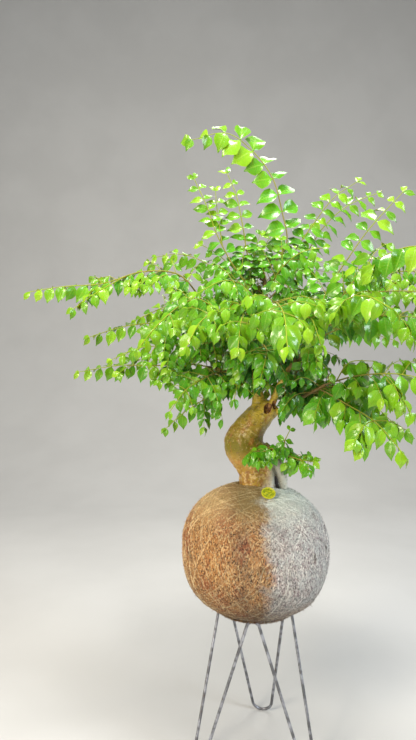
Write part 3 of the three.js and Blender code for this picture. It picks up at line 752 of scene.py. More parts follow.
def skin_point(angle, rise, sunk=0.0):
    """A point of the skin: angle round the ball, and rise from -pi/2 at the bottom upwards."""
    half_height, squareness = BALL_ABOVE if rise > 0 else BALL_BELOW
    power = 2 / squareness
    share = math.cos(rise) ** power
    reach = BALL_RADIUS - BELOW_PLAIN + dents(angle, math.sin(rise), share) - sunk
    if rise > 0:
        to_hole = (1 - share) / (1 - HOLE_SHARE)
        x = (1 - to_hole) * reach * math.cos(angle) + to_hole * (HOLE["x"] + HOLE["half_x"] * math.cos(angle))
        y = (1 - to_hole) * reach * math.sin(angle) + to_hole * HOLE["half_y"] * math.sin(angle)
        facing = 0.5 + 0.5 * math.cos(angle - COLLAR_HEADING)
        collar = facing * max(0.0, to_hole - COLLAR_FROM) / (1 - COLLAR_FROM)
        height = ball_height(x, y) - BALL_CENTRE_Z + COLLAR_HEIGHT * collar
    else:
        x, y = reach * share * math.cos(angle), reach * share * math.sin(angle)
        height = -(half_height - BELOW_PLAIN) * abs(math.sin(rise)) ** power
    if sunk:
        height -= sunk * math.copysign(abs(math.sin(rise)) ** power, rise)
    return np.array([x, y, BALL_CENTRE_Z + height])


TOP_RISE = math.acos(HOLE_SHARE ** (BALL_ABOVE[1] / 2))
print("the skin ends", round(math.degrees(math.pi / 2 - TOP_RISE)), "degrees from the top")

# %% [markdown]
# The rings of points become a closed skin. The helper serves the tag and the trunk too.

# %% Skin over rings
def round_angles(count):
    return 2 * math.pi * np.arange(count) / count


def skin_over(rings):
    """Points and faces of a closed skin over rings of points, with a fan at each end."""
    sides = len(rings[0])
    points = [p for ring in rings for p in ring]
    points += [np.mean(rings[0], axis=0), np.mean(rings[-1], axis=0)]
    last = (len(rings) - 1) * sides
    faces = []
    for j in range(sides):
        k = (j + 1) % sides
        faces += [(i * sides + j, i * sides + k, (i + 1) * sides + k, (i + 1) * sides + j)
                  for i in range(len(rings) - 1)]
        faces += [(len(points) - 2, k, j), (len(points) - 1, last + j, last + k)]
    return points, faces


def cover_rings():
    angles = np.linspace(0, 2 * math.pi, SKIN_COLUMNS, endpoint=False)
    low = -math.pi / 2 + 0.5 * (TOP_RISE + math.pi / 2) / SKIN_ROWS
    outer = [[skin_point(a, rise) for a in angles] for rise in np.linspace(low, TOP_RISE, SKIN_ROWS)]
    middle = np.array([HOLE["x"], 0, 0])
    lip = []
    for step in range(1, LIP_STEPS + 1):
        turn = math.pi * step / LIP_STEPS
        inward, down = LIP_RADIUS * math.sin(turn), LIP_RADIUS * (1 - math.cos(turn))
        lip.append([p - unit(p * (1, 1, 0) - middle) * inward - UP * down for p in outer[-1]])
    inner = [[skin_point(a, rise, COVER_WALL) for a in angles]
             for rise in np.linspace(TOP_RISE - INNER_BELOW_LIP, low, INNER_ROWS)]
    return [*outer, *lip, *inner]


skin_points, skin_faces = skin_over(cover_rings())
print("the skin has", len(skin_faces), "faces")

# %% [markdown]
# ## Weathering and painted light
#
# The right half of this ball is painted paler and cooler, as painted cool light, with a frayed edge
# in front, and dusty patches lie on it. The rim at the upper left is painted lighter and warmer, as
# painted warm light. An olive ring at the trunk is moss tint and painted shade, a belt down the front
# is darker, with darker patches, and the underside is in its own shade. All that crosses mat, threads
# and fibres alike, so one function adds it to each finish.

# %% Weathering and painted light of the ball
# The right half is painted paler and cooler: painted cool light, with a frayed edge.
COOL_SIDE_EDGE = (0.000, 0.020)
COOL_SIDE_FRAYS = {"wander": (38, 0.030), "fray": (210, 0.012)}
FRAY_LIMITS = (0.2, 0.8)
COOL_SIDE_ABOVE = ("z", 0.245, 0.275, 0.45, 1)
COOL_SIDE_LIGHT = {"saturation": 0.24, "value": 1.12}
WEATHER_AND_LIGHT_COATS = {
    # Dusty patches on the cool-lit half are partly painted cool light; its top is painted lighter still.
    "dust_and_cool_light": ((0.55, 0.61, 0.58), 0.35, "cool_lit", 60, 0.35, 0.65),
    "dust on top": ((0.62, 0.69, 0.60), 0.55, "bleached top"),
    # An olive ring at the trunk: moss tint and painted shade, kept off the cool-lit half.
    "moss_and_shade": ((0.19, 0.16, 0.06), 0.6, "moss_and_shade"),
    "purple specks": ((0.13, 0.035, 0.065), 0.58, "bleached sides", 360, 0.57, 0.64, 0.65),
    # The rim at the upper left is painted lighter and warmer: painted warm light.
    "painted warm light on the rim": ((0.80, 0.62, 0.32), 0.35, "rim"),
}
TOP_FROM = ("z", 0.375, 0.41)
SIDES_BELOW = ("z", 0.405, 0.375)
RIM = [("z", 0.365, 0.395), ("x", -0.030, -0.060)]
# Where the ring of moss tint and painted shade lies round the trunk.
MOSS_SHADE_NEAR = ("x", 0.004, 0.062, 0.030)
MOSS_SHADE_ABOVE = ("z", 0.378, 0.402)
MOSS_SHADE_OFF_COOL_SIDE = (0.8, 0.2)
# A belt down the middle of the ball is darker, with darker patches.
BELT = ("x", -0.006, 0.060, 0.020)
BELT_BELOW = ("z", 0.41, 0.37)
BELT_PATCHES = (30, 0.46, 0.60, 0.6)
BELT_FADE = {"saturation": 0.97, "value": 0.86}
BELT_PATCH_FADE = {"saturation": 0.95, "value": 0.70}
SHADED_BELOW = ("z", 0.315, 0.240)
SHADE_FADE = {"saturation": 0.95, "value": 0.48}


def weather_and_light(finish):
    """Paints cool light on the right half, warm light on the upper left, moss tint and shade at the trunk and
    shade below, and adds dusty patches, specks and a darker belt.
    """
    shifted = finish.place("x")
    for scale, reach in COOL_SIDE_FRAYS.values():
        wander = finish.range(finish.patches(scale, *FRAY_LIMITS), 0, 1, -reach / 2, reach / 2)
        shifted = calculate(finish.tree, "ADD", shifted, wander)
    cool_lit = finish.times(finish.range(shifted, *COOL_SIDE_EDGE), finish.within(COOL_SIDE_ABOVE))
    finish.fade(cool_lit, **COOL_SIDE_LIGHT)
    finish.coats(WEATHER_AND_LIGHT_COATS, {
        "cool_lit": cool_lit,
        "bleached top": finish.times(cool_lit, finish.within(TOP_FROM)),
        "moss_and_shade": finish.times(finish.near(*MOSS_SHADE_NEAR), finish.within(MOSS_SHADE_ABOVE),
                             finish.range(cool_lit, *MOSS_SHADE_OFF_COOL_SIDE)),
        "bleached sides": finish.times(cool_lit, finish.within(SIDES_BELOW)),
        "rim": finish.within(*RIM),
    })
    belt = finish.times(finish.near(*BELT), finish.within(BELT_BELOW))
    finish.fade(belt, **BELT_FADE)
    finish.fade(finish.times(belt, finish.patches(*BELT_PATCHES)), **BELT_PATCH_FADE)
    finish.fade(finish.within(SHADED_BELOW), **SHADE_FADE)


print("coats of weather:", ", ".join(WEATHER_AND_LIGHT_COATS))

# %% [markdown]
# ## Coir
#
# Coir is the tough fibre of a coconut husk. Seen close it is not one brown: pale straws cross dark
# gaps, and red-brown patches show where the bark of the husk came along. The mat shows between
# the threads and the loose fibre.

# %% Finish of the coir
MAT_COATS = {
    "husk bark": ((0.38, 0.105, 0.035), 0.85, None, 26, 0.47, 0.60, 0.7),
    "straws": ((0.80, 0.57, 0.27), 0.85, None, 420, 0.52, 0.62, 0.4),
    "small gaps": ((0.05, 0.020, 0.014), 0.95, "speckled", 620, 0.48, 0.40, 0.65),
    "gaps": ((0.040, 0.018, 0.014), 0.9, "speckled", 390, 0.59, 0.65, 0.7),
    "worn top": ((0.34, 0.22, 0.09), 0.6, "top"),
}
SPECKLED = ("z", 0.412, 0.380, 0.25, 1)
UNSPECKLED = (0.9, 0.3)


def make_mat_finish():
    finish = Finish("coir_mat", (0.48, 0.228, 0.072), Roughness=0.95)
    speckled = finish.within(SPECKLED)
    finish.coats(MAT_COATS, {"speckled": speckled, "top": finish.range(speckled, *UNSPECKLED)})
    finish.relief(finish.patches(400, *SOFT, 0.4), 1.0)
    finish.relief(finish.mask(STRANDS, Scale=380, Stretch=(1, 1, 0.4), Width=0.06), 0.5)
    weather_and_light(finish)
    return finish.done()


skin = object_from("coir_skin", smooth(mesh_from("coir_skin", skin_points, skin_faces)), [make_mat_finish()])
settle(skin, "coir", "coir_cover")

# %% [markdown]
# ## Winding the thread
#
# A ball is bound by passing the thread round and round it, turning the ball a little each time. No
# turn may cross the trunk, so every turn leans just enough to slide past it: near the top they
# form arcs round the trunk, at the widest place they cross steeply. Each turn is a loop on the
# skin's own formula, so the thread lies on the surface.

# %% Loops of thread
TURNS = 62
STRANDS_IN_TURN = 3
STRAND_SHIFT = 0.0062
STRAND_LIFT = (-0.1, 0.25)
LOOP_POINTS = 80
THREAD_RADIUS = 0.26
LEAN_DEGREES = (42, 74)
GOLDEN_TURN = 0.381966
HEADING_LIMITS = (-0.06, 0.06)
SHIFT_LIMITS = (-0.10, 0.10)
BELOW_LIP = 0.02
THREAD_SEED = 12


def loop_of_thread(lean, heading, shift, lift):
    """A loop on the skin in a leaning plane; shift moves it sideways, in radians."""
    points = []
    for t in np.linspace(0, 2 * math.pi, LOOP_POINTS, endpoint=False):
        side = np.array([math.cos(t), math.sin(t) * math.cos(lean), math.sin(t) * math.sin(lean)])
        square = np.array([0, -math.sin(lean), math.cos(lean)])
        direction = unit(side + square * math.tan(shift))
        angle = math.atan2(direction[1], direction[0]) + heading
        rise = math.atan2(direction[2], math.hypot(direction[0], direction[1]))
        points.append(skin_point(angle, min(rise, TOP_RISE - BELOW_LIP), -lift))
    return points


def wound_thread():
    draw = np.random.default_rng(THREAD_SEED)
    points, edges, tones = [], [], []
    for turn in range(TURNS):
        lean = math.radians(draw.uniform(*LEAN_DEGREES))
        heading = 2 * math.pi * (turn * GOLDEN_TURN % 1) + draw.uniform(*HEADING_LIMITS)
        shift = draw.uniform(*SHIFT_LIMITS)
        for strand in range(STRANDS_IN_TURN):
            lift = STRAND_LIFT[1] * draw.random() + STRAND_LIFT[0]
            start = len(points)
            points += loop_of_thread(lean, heading, shift + STRAND_SHIFT * strand, lift)
            tones += [draw.random()] * LOOP_POINTS
            edges += [(start + i, start + (i + 1) % LOOP_POINTS) for i in range(LOOP_POINTS)]
    mesh = mesh_from("thread_lines", points, edges=edges)
    add_values(mesh, "tone", "FLOAT", tones)
    return mesh


def make_thread_tree():
    tree, given, result = new_growth("thread", ("Radius", "Float", 0.3 * MM), ("Sides", "Int", 3),
                                     ("Material", "Material", None))
    thread = swept(tree, curve_along(tree, given["Geometry"]), given["Sides"], given["Radius"])
    plain = shaded_smooth(tree, real(tree, thread))
    return end_tree(tree, painted(tree, plain, given["Material"]), result)


print(TURNS, "turns of", STRANDS_IN_TURN, "strands")

# %% [markdown]
# The thread is paler than the mat. Its "tone" differs from strand to strand: some are straw, some
# are brown, and dirt has caught on all of them in spots.

# %% Finish of the thread
THREAD_COATS = {
    "straw": ((0.95, 0.77, 0.46), 1.0, "pale"),
    "brown": ((0.30, 0.14, 0.05), 0.8, "dark"),
    "dirt": ((0.36, 0.17, 0.06), 0.85, None, 70, 0.52, 0.66),
    "spots": ((0.10, 0.045, 0.022), 0.85, None, 310, 0.53, 0.60),
}
THREAD_TONES = {"pale": (0.40, 0.80), "dark": (0.34, 0.16)}


def toned_coir(name, ground, coats, tones, **plain):
    """A finish for thread or fibre whose colour follows its tone, weathered and given painted light and shade
    like the ball.
    """
    finish = Finish(name, ground, **plain)
    finish.coats(coats, finish.by_attribute("tone", tones))
    weather_and_light(finish)
    return finish.done()


THREAD = toned_coir("pale_thread", (0.56, 0.37, 0.15), THREAD_COATS, THREAD_TONES, Roughness=0.75,
                    Sheen_Weight=0.1)
settle(grown(object_from("thread_lines", wound_thread()), make_thread_tree(), "wound_thread",
             {"Radius": THREAD_RADIUS * MM, "Material": THREAD}), "coir", "coir_cover")

# %% [markdown]
# ## Loose fibre
#
# A real coir ball is shaggy up close: short ends lie flat in all directions, and a few long hairs
# stand off its outline. Hair curves would be lost on the way out of Blender, so a node tree scatters
# small real strands over the skin instead.

# %% Node tree of scattered fibre
CLOSEST = 0.2 * MM
TONE_SEED = 3
TILT_SEED = 8


def chance(tree, low, high, **more):
    """A random number between two limits."""
    return node(tree, "FunctionNodeRandomValue", {2: low, 3: high, **more}).outputs[1]


def patterns_of(tree, collection):
    """What a collection holds, one instance for each object."""
    return geo(tree, "CollectionInfo",
               {"Collection": collection, "Separate Children": True, "Reset Children": True})


def named(tree, name, kind="FLOAT"):
    """A named attribute of the geometry."""
    return geo(tree, "InputNamedAttribute", {"Name": name}, data_type=kind)


def make_fibre_tree():
    tree, given, result = new_growth(
        "scattered fibre", ("Strands", "Collection", None), ("Density", "Float", 1000.0),
        ("Most Tilt", "Float", 0.2), ("Heading Spread", "Float", 0.6), ("Smallest", "Float", 0.6),
        ("Largest", "Float", 1.3), ("Seed", "Int", 1), ("Material", "Material", None))
    dots = node(tree, "GeometryNodeDistributePointsOnFaces",
                {"Mesh": given["Geometry"], "Distance Min": CLOSEST, "Density Max": given["Density"],
                 "Density Factor": named(tree, "fibre"), "Seed": given["Seed"]},
                distribute_method="POISSON").outputs
    tone = chance(tree, 0.0, 1.0, Seed=TONE_SEED)
    toned = geo(tree, "StoreNamedAttribute",
                {"Geometry": dots["Points"], "Name": "tone", "Value": tone}, data_type="FLOAT")
    upright = node(tree, "FunctionNodeAlignRotationToVector",
                   {"Rotation": dots["Rotation"], "Vector": dots["Normal"]}, axis="Z").outputs[0]
    level = node(tree, "FunctionNodeAlignRotationToVector", {"Rotation": upright, "Vector": (0, 0, 1)},
                 axis="X", pivot_axis="Z").outputs[0]
    spread = given["Heading Spread"]
    heading = chance(tree, calculate(tree, "MULTIPLY", spread, -1.0), spread, Seed=given["Seed"])
    headed = turned(tree, level, (0, 0, 1), heading)
    tilted = turned(tree, headed, (0, -1, 0), chance(tree, 0.0, given["Most Tilt"], Seed=TILT_SEED))
    size = chance(tree, given["Smallest"], given["Largest"])
    set_out = geo(tree, "InstanceOnPoints",
                  {"Points": toned, "Instance": patterns_of(tree, given["Strands"]), "Pick Instance": True,
                   "Rotation": tilted, "Scale": size})
    return end_tree(tree, painted(tree, real(tree, set_out), given["Material"]), result)


FIBRE_TREE = make_fibre_tree()

# %% [markdown]
# A strand is a bent, three-sided needle. A few different bends are enough, because each copy is
# turned and sized at random.

# %% Strands
STRAND_KINDS = 6
STRAND_SIDES = 3
STRAND_STATIONS = ((0.0, 0.05), (0.5, 1.0), (1.0, 0.05))
BEND_LIMITS = (-1, 1)
RISE_LIMITS = (0.3, 1)


def strand_mesh(name, length, radius, bend, rise):
    """A three-sided needle along +X that bends sideways and rises a little."""
    points = []
    for t, share in STRAND_STATIONS:
        middle = np.array([length * (t - 0.5), bend * math.sin(math.pi * t), rise * t ** 2])
        points += [middle + radius * share * np.array([0, math.cos(a), math.sin(a)])
                   for a in round_angles(STRAND_SIDES)]
    faces = [(3 * i + j, 3 * i + (j + 1) % 3, 3 * i + 3 + (j + 1) % 3, 3 * i + 3 + j)
             for i in range(len(STRAND_STATIONS) - 1) for j in range(3)]
    last = len(points) - 1
    faces += [(2, 1, 0), (last - 2, last - 1, last)]
    return mesh_from(name, points, faces)


def collection_of(name, meshes):
    """A collection of patterns, one object for each mesh."""
    kinds = bpy.data.collections.new(name)
    bpy.context.scene.collection.children.link(kinds)
    for index, mesh in enumerate(meshes):
        kinds.objects.link(bpy.data.objects.new(f"{name}_{index}", mesh))
    return kinds


def strand_meshes(name, length, radius, bend, rise, seed):
    """Strands that differ in their bend."""
    draw = np.random.default_rng(seed)
    for index in range(STRAND_KINDS):
        yield strand_mesh(f"{name}_{index}", length, radius, bend * draw.uniform(*BEND_LIMITS),
                          rise * draw.uniform(*RISE_LIMITS))


def clear_away(kinds):
    """Removes the patterns of a collection once their copies are plain meshes."""
    for pattern in list(kinds.objects):
        bpy.data.objects.remove(pattern)
    bpy.data.collections.remove(kinds)


print("a strand has", len(STRAND_STATIONS) * STRAND_SIDES, "points")

# %% [markdown]
# Where fibre grows is a weight from 0 to 1 at every point of the ground. Fibre and hairs take the
# outside of the skin, and moss the olive ring at the trunk, whose colour is moss tint and painted
# shade. Some coir was drawn over the ring of the stand, so the outer half of that ring is a ground
# of its own.

# %% Where fibre grows
BARE_THREAD = (385, 425)
BARE_SHARE = 0.15
INNER_SHARE = 0.5
WRAP_RADIUS = RING_BAR_RADIUS + 0.3
WRAP_DEGREES = (-165, 15)
WRAP_SIDES = 6
MOSS_FRONT = {"left_of": 30, "before": 15, "elsewhere": 0.35}
MOSS_RING = {"away": 1.15, "width": 0.5}


def outside(point):
    """1 on the outer side of the skin, less near the trunk, where the thread lies bare, and 0 inside."""
    flat = np.hypot(point[0], point[1])
    surface = ball_height(point[0], point[1], 1 if point[2] > BALL_CENTRE_Z else -1)
    depth = INNER_SHARE * COVER_WALL
    inner = abs(point[2] - BALL_CENTRE_Z) < abs(surface - BALL_CENTRE_Z) - depth
    if inner and flat < BALL_RADIUS - depth:
        return 0.0
    return float(np.interp(point[2], BARE_THREAD, (1.0, BARE_SHARE)))


def near_trunk(point):
    """Moss keeps to the olive ring round the foot of the trunk, in front and to the left."""
    away = math.hypot((point[0] - HOLE["x"]) / HOLE["half_x"], point[1] / HOLE["half_y"])
    in_front = point[0] < MOSS_FRONT["left_of"] and point[1] < MOSS_FRONT["before"]
    share = 1.0 if in_front else MOSS_FRONT["elsewhere"]
    ring = max(0.0, 1 - abs(away - MOSS_RING["away"]) / MOSS_RING["width"])
    return outside(point) * (point[2] > BALL_CENTRE_Z) * share * ring


def ring_ground():
    """The lower, outer half of the ring's surface, where coir was drawn over it."""
    points, faces = [], []
    for i in range(RING_STEPS):
        for degrees in np.linspace(*WRAP_DEGREES, WRAP_SIDES + 1):
            lean = math.radians(degrees)
            points.append(on_circle(360 * i / RING_STEPS, RING_RADIUS + WRAP_RADIUS * math.cos(lean),
                                    ring_height() + WRAP_RADIUS * math.sin(lean)))
        near, far = i * (WRAP_SIDES + 1), (i + 1) % RING_STEPS * (WRAP_SIDES + 1)
        faces += [(near + j, far + j, far + j + 1, near + j + 1) for j in range(WRAP_SIDES)]
    return points, faces


print("the coir over the ring covers", WRAP_DEGREES[1] - WRAP_DEGREES[0], "degrees of its bar")

# %% [markdown]
# Four layers use that tree. A row of their table has the ground, the weight and the finish, then the
# length, radius, bend, rise and seed of the strands, and then what the tree's inputs get.

# %% Fibre, hairs and moss
FIBRE_COATS = {
    "straw": ((0.95, 0.72, 0.40), 1.0, "pale"),
    "husk bark": ((0.40, 0.11, 0.035), 1.0, "red"),
    "dark": ((0.06, 0.022, 0.015), 1.0, "dark"),
    "red patches": ((0.42, 0.12, 0.04), 0.55, None, 26, 0.52, 0.62, 0.7),
}
FIBRE_TONES = {"pale": (0.55, 0.95), "red": (0.40, 0.22), "dark": (0.26, 0.16)}
MOSS_COATS = {"tips": ((0.24, 0.20, 0.06), 1.0, "tone")}


def make_moss_finish():
    finish = Finish("moss", (0.13, 0.13, 0.025), Roughness=0.9)
    finish.coats(MOSS_COATS, {"tone": finish.attribute("tone")})
    return finish.done()


FIBRE = toned_coir("coir_fibre", (0.52, 0.28, 0.10), FIBRE_COATS, FIBRE_TONES, Roughness=0.9)
SKIN = (skin_points, skin_faces)
BED_INPUTS = ("Density", "Most Tilt", "Heading Spread", "Seed", "Smallest", "Largest")
LAYERS = {
    "flat_fibre": (SKIN, outside, FIBRE, (6.5, 0.28, 1.4, 0.6, 3), (78000.0, 0.16, 1.2, 5)),
    "long_hairs": (SKIN, outside, FIBRE, (10, 0.32, 2.5, 2.0, 8), (13000.0, 1.05, 3.1, 9, 0.5, 1.0)),
    "fibre_over_ring": (ring_ground(), lambda point: 1.0, FIBRE, (8.5, 0.42, 1.6, 0.5, 6),
                        (760000.0, 0.12, 0.9, 13)),
    "moss_round_trunk": (SKIN, near_trunk, make_moss_finish(), (2.8, 0.3, 0.5, 1.0, 4),
                         (120000.0, 1.3, 3.1, 7)),
}


def scattered(name, ground, weight, material, strand, numbers):
    """Strands on a ground; weight gives their density at each point, from 0 to 1."""
    points, faces = ground
    kinds = collection_of(name + "_strand", strand_meshes(name + "_strand", *strand))
    bed = mesh_from(name + "_ground", points, faces)
    add_values(bed, "fibre", "FLOAT", [weight(p) for p in points])
    made = grown(object_from(name + "_ground", bed), FIBRE_TREE, name,
                 {"Strands": kinds, "Material": material, **dict(zip(BED_INPUTS, numbers))})
    clear_away(kinds)
    return made


for name, layer in LAYERS.items():
    settle(scattered(name, *layer), "coir", "coir_cover")

# %% [markdown]
# ## The tag
#
# A small round tag is pinned into the ball in front of the trunk: a blank disc with a raised rim. A
# profile turned round the axis makes it, and a formula presses dimples into its face.

# %% Tag
TAG = {"x": 16, "y": -50, "lift": 4.4, "tilt": 36}
TAG_DISC = {"radius": 10.5, "thickness": 1.4, "rim": 0.3, "wide": 1.3}
TAG_PIN = {"radius": 0.9, "length": 8, "sunk": 0.2}
TAG_SIDES = 72
PIN_SIDES = 16
TAG_FACE_RINGS = 22
DIMPLE_DEPTH, DIMPLE_RATE = 0.22, 1.9
TAG_COATS = {
    "wear": ((0.16, 0.24, 0.012), 0.9, None, 460, 0.44, 0.54),
    "rim": ((0.60, 0.58, 0.015), 1.0, "rim"),
}


def turned_rings(profile, sides, pressed=lambda r, z, x, y: 0):
    """The rings of a profile turned round the z axis; pressed lowers the points of a face."""
    return [[np.array([r * math.cos(a), r * math.sin(a), z - pressed(r, z, r * math.cos(a), r * math.sin(a))])
             for a in round_angles(sides)] for r, z in profile]


def tag_rings(radius, thickness, rim, wide):
    face = thickness - rim
    profile = [(0.3, 0), (radius - rim, 0), (radius - 0.1, 0.1), (radius, rim), (radius, thickness),
               (radius - 0.1, thickness + 0.8 * rim), (radius - rim, thickness + rim),
               (radius - wide, thickness + rim), (radius - wide - rim, face)]
    profile += [(r, face) for r in np.linspace(radius - wide - 2 * rim, 0.4, TAG_FACE_RINGS)]

    def dimple(r, z, x, y):
        on_face = z == face and r < radius - wide - rim
        return DIMPLE_DEPTH * abs(math.sin(DIMPLE_RATE * x) * math.sin(DIMPLE_RATE * y)) * on_face

    return turned_rings(profile, TAG_SIDES, dimple)


def pin_rings(radius, length, sunk):
    return turned_rings([(0.1, -length), (radius, -0.8 * length), (radius, sunk)], PIN_SIDES)


def make_tag_finish():
    finish = Finish("tag_lacquer", (0.50, 0.50, 0.010), Roughness=0.4, Coat_Weight=0.3, Coat_Roughness=0.25)
    finish.coats(TAG_COATS, {"rim": finish.attribute("rim")})
    return finish.done()


tag_at = np.array([TAG["x"], TAG["y"], ball_height(TAG["x"], TAG["y"]) + TAG["lift"]]) * MM
tag_place = Matrix.Translation(tuple(tag_at)) @ Matrix.Rotation(math.radians(TAG["tilt"]), 4, "X")
rim_from = TAG_DISC["radius"] - TAG_DISC["wide"] - TAG_DISC["rim"]
tag_finish = make_tag_finish()
tag_parts = []
for title, rings in (("tag_disc_fine", tag_rings(**TAG_DISC)), ("tag_pin_fine", pin_rings(**TAG_PIN))):
    points, faces = skin_over(rings)
    mesh = smooth(mesh_from(title, points, faces))
    add_values(mesh, "rim", "FLOAT", [float(math.hypot(p[0], p[1]) > rim_from) for p in points])
    mesh.transform(tag_place)
    tag_parts.append(object_from(title, mesh, [tag_finish]))
settle(joined("blank_tag", tag_parts), "tag", "tag_disc")

# %% [markdown]
# ## Curves as a grower bends them
#
# The frame's stems follow smooth curves through a few points, and fine stems and leaves need the same
# ones: Catmull-Rom curves with centripetal spacing, which never loop between their points.

# %% Smooth curves
CURVE_SAMPLES = 40
ALONG_STEP = 0.5


def catmull_rom(points):
    """Points close together on the centripetal Catmull-Rom curve through the given ones."""
    points = np.asarray(points, float)
    padded = np.vstack([2 * points[0] - points[1], points, 2 * points[-1] - points[-2]])
    sampled = []
    for before, start, end, after in zip(padded, padded[1:], padded[2:], padded[3:]):
        gaps = [np.linalg.norm(b - a) ** 0.5 for a, b in ((before, start), (start, end), (end, after))]
        leave = (start - before) / gaps[0] - (end - before) / (gaps[0] + gaps[1]) + (end - start) / gaps[1]
        arrive = (end - start) / gaps[1] - (after - start) / (gaps[1] + gaps[2]) + (after - end) / gaps[2]
        leave, arrive = leave * gaps[1], arrive * gaps[1]
        t = np.linspace(0, 1, CURVE_SAMPLES, endpoint=False)[:, None]
        cubic = 2 * start - 2 * end + leave + arrive
        square = 3 * end - 3 * start - 2 * leave - arrive
        sampled.append(start + leave * t + square * t ** 2 + cubic * t ** 3)
    return np.vstack([*sampled, points[-1]])


class Path:
    """A sampled curve that is read by a share of its length."""

    def __init__(self, points):
        self.samples = catmull_rom(points)
        steps = np.linalg.norm(np.diff(self.samples, axis=0), axis=1)
        self.reached = np.concatenate([[0], np.cumsum(steps)])
        self.length = self.reached[-1]

    def read(self, wanted, marks):
        return np.array([np.interp(wanted, marks, self.samples[:, axis]) for axis in range(3)])

    def at(self, share):
        return self.read(np.clip(share, 0, 1) * self.length, self.reached)

    def by_span(self, share):
        """The point at a share of the spans, however long each of them is."""
        last = len(self.samples) - 1
        return self.read(np.clip(share, 0, 1) * last, np.arange(last + 1))

    def along(self, share):
        step = ALONG_STEP / self.length
        return unit(self.at(share + step) - self.at(share - step))


print("each span of a curve is read at", CURVE_SAMPLES, "places")

# %% [markdown]
# ## The trunk
#
# The trunk swings left out of the ball, bends back to the right and ends in a rotted stump, and thin
# limbs carry the crown. A rule is easier to repeat than a sculpture: sections along a curve, roots
# and limbs as tapering tubes, and ellipsoids for the rotted hollows. A voxel remesh melts them
# into one skin with soft joints, as bark grows over a joint.

# %% Sizes of the trunk
SOIL_TOP_Z = 407
FOOT_RADIUS = 20
FOOT_DEPTH = 55
FOOT_RISE = 12
TRUNK = [
    ((4, 0, 407.3), (30, 26)), ((3, 0, 420), (28, 24)), ((2, 0, 438), (27, 24)), ((-4, 0, 456), (29, 25)),
    ((-13, 0, 474), (31, 26)), ((-15, 0, 489), (31, 27)), ((-9, 0, 505), (25.5, 25)),
    ((1, 0, 519), (22.5, 22)), ((11, 0, 531), (20.5, 20)), ((21, -2, 541), (18, 17)),
    ((26, -3, 548), (13, 13)),
]
ROOTS = [
    ([(10, -2, 476), (27, -6, 462), (38, -8, 446), (43, -8, 428), (45, -8, 408)], 14, 5.5),
    ([(10, -12, 472), (19, -18, 452), (23, -20, 432), (24, -21, 408)], 9, 4),
    ([(14, 8, 468), (26, 13, 448), (32, 15, 428), (34, 15, 408)], 10, 5.5),
    ([(-6, -8, 462), (-12, -12, 436), (-13, -13, 408)], 12, 8),
    ([(-6, 8, 460), (-12, 12, 436), (-13, 13, 408)], 12, 8),
]
STUMP_HOLLOWS = [((19, -19, 541), (5.5, 6.5, 9), 0.4), ((29.5, -16, 545), (3.2, 5, 7.5), -0.2)]
LIMB_TAPER = 0.55
LIMBS = {
    "leader": ([(2, 0, 524), (6, 0, 548), (4, 0, 572), (12, 4, 612), (6, 2, 660), (18, 8, 710),
                (15, 14, 755)], (15, 3)),
    "left": ([(5, 0, 598), (-25, -18, 640), (-50, -35, 668), (-80, -48, 700)], (5, 2.4)),
    "left_low": ([(4, 0, 574), (-25, -10, 592), (-60, -28, 602)], (4.5, 2.2)),
    "right": ([(24, -3, 540), (42, -40, 592), (70, -80, 635), (90, -120, 670)], (7, 2.4)),
    "right_low": ([(26, 2, 526), (54, -30, 550), (90, -98, 580)], (5, 2.4)),
    "far_right": ([(8, 2, 640), (60, 0, 672), (110, 2, 700), (150, 5, 722)], (4.5, 2.2)),
    "back": ([(9, 4, 605), (35, 70, 640), (65, 130, 690)], (5, 2.4)),
    "back_left": ([(6, 2, 632), (-25, 60, 665), (-62, 112, 702)], (5, 2.4)),
    "front": ([(6, 0, 632), (-8, -50, 652), (-5, -100, 668)], (4.5, 2.2)),
    "low": ([(8, -14, 482), (26, -34, 478), (36, -43, 474)], (3.5, 2)),
}
print(len(LIMBS), "limbs and", len(ROOTS), "roots")

# %% [markdown]
# Each tube is a stack of rings square to its curve. The reference axis is the one that the
# curve crosses most squarely, so that no ring turns over.

# %% Tubes of the trunk
TRUNK_GRID = (60, 40)
ROOT_GRID = (24, 18)
FOOT_GRID = (12, 28)
LIMB_STEPS_AT_POINT = 14
LIMB_SIDES = 16
RUN_STEP = 0.004
TRUNK_LUMPS = [(0.035, 3, 9), (0.02, 5, -17), (0.012, 9, 26)]
FRONT_TO_BACK = np.array([0, 1, 0])


def tube(points, steps, sides, half_at, reference=FRONT_TO_BACK):
    """Rings along a curve; half_at gives the two half widths at a share of the curve and an angle."""
    path = Path(points)
    rings = []
    for share in np.linspace(0, 1, steps + 1):
        middle = path.by_span(share)
        run = unit(path.by_span(share + RUN_STEP) - path.by_span(share - RUN_STEP))
        across = unit(np.cross(reference, run))
        other = np.cross(run, across)
        ring = []
        for angle in round_angles(sides):
            half, other_half = half_at(share, angle)
            ring.append(middle + across * half * math.cos(angle) + other * other_half * math.sin(angle))
        rings.append(ring)
    return rings


def square_to(points):
    run = np.abs(np.asarray(points[-1], float) - np.asarray(points[0], float))
    return np.eye(3)[int(np.argmin(run))]


def trunk_half(share, angle):
    """Half widths of the trunk with its lumps; widths run smoothly from section to section."""
    places = np.linspace(0, 1, len(TRUNK))
    lumps = 1 + sum(height * math.sin(turns * angle + along * share) for height, turns, along in TRUNK_LUMPS)
    return [lumps * np.interp(share, places, [half[axis] for _, half in TRUNK]) for axis in (0, 1)]


def limb_half(thick, thin, taper=1.0):
    return lambda share, angle: [thick + (thin - thick) * share ** taper] * 2


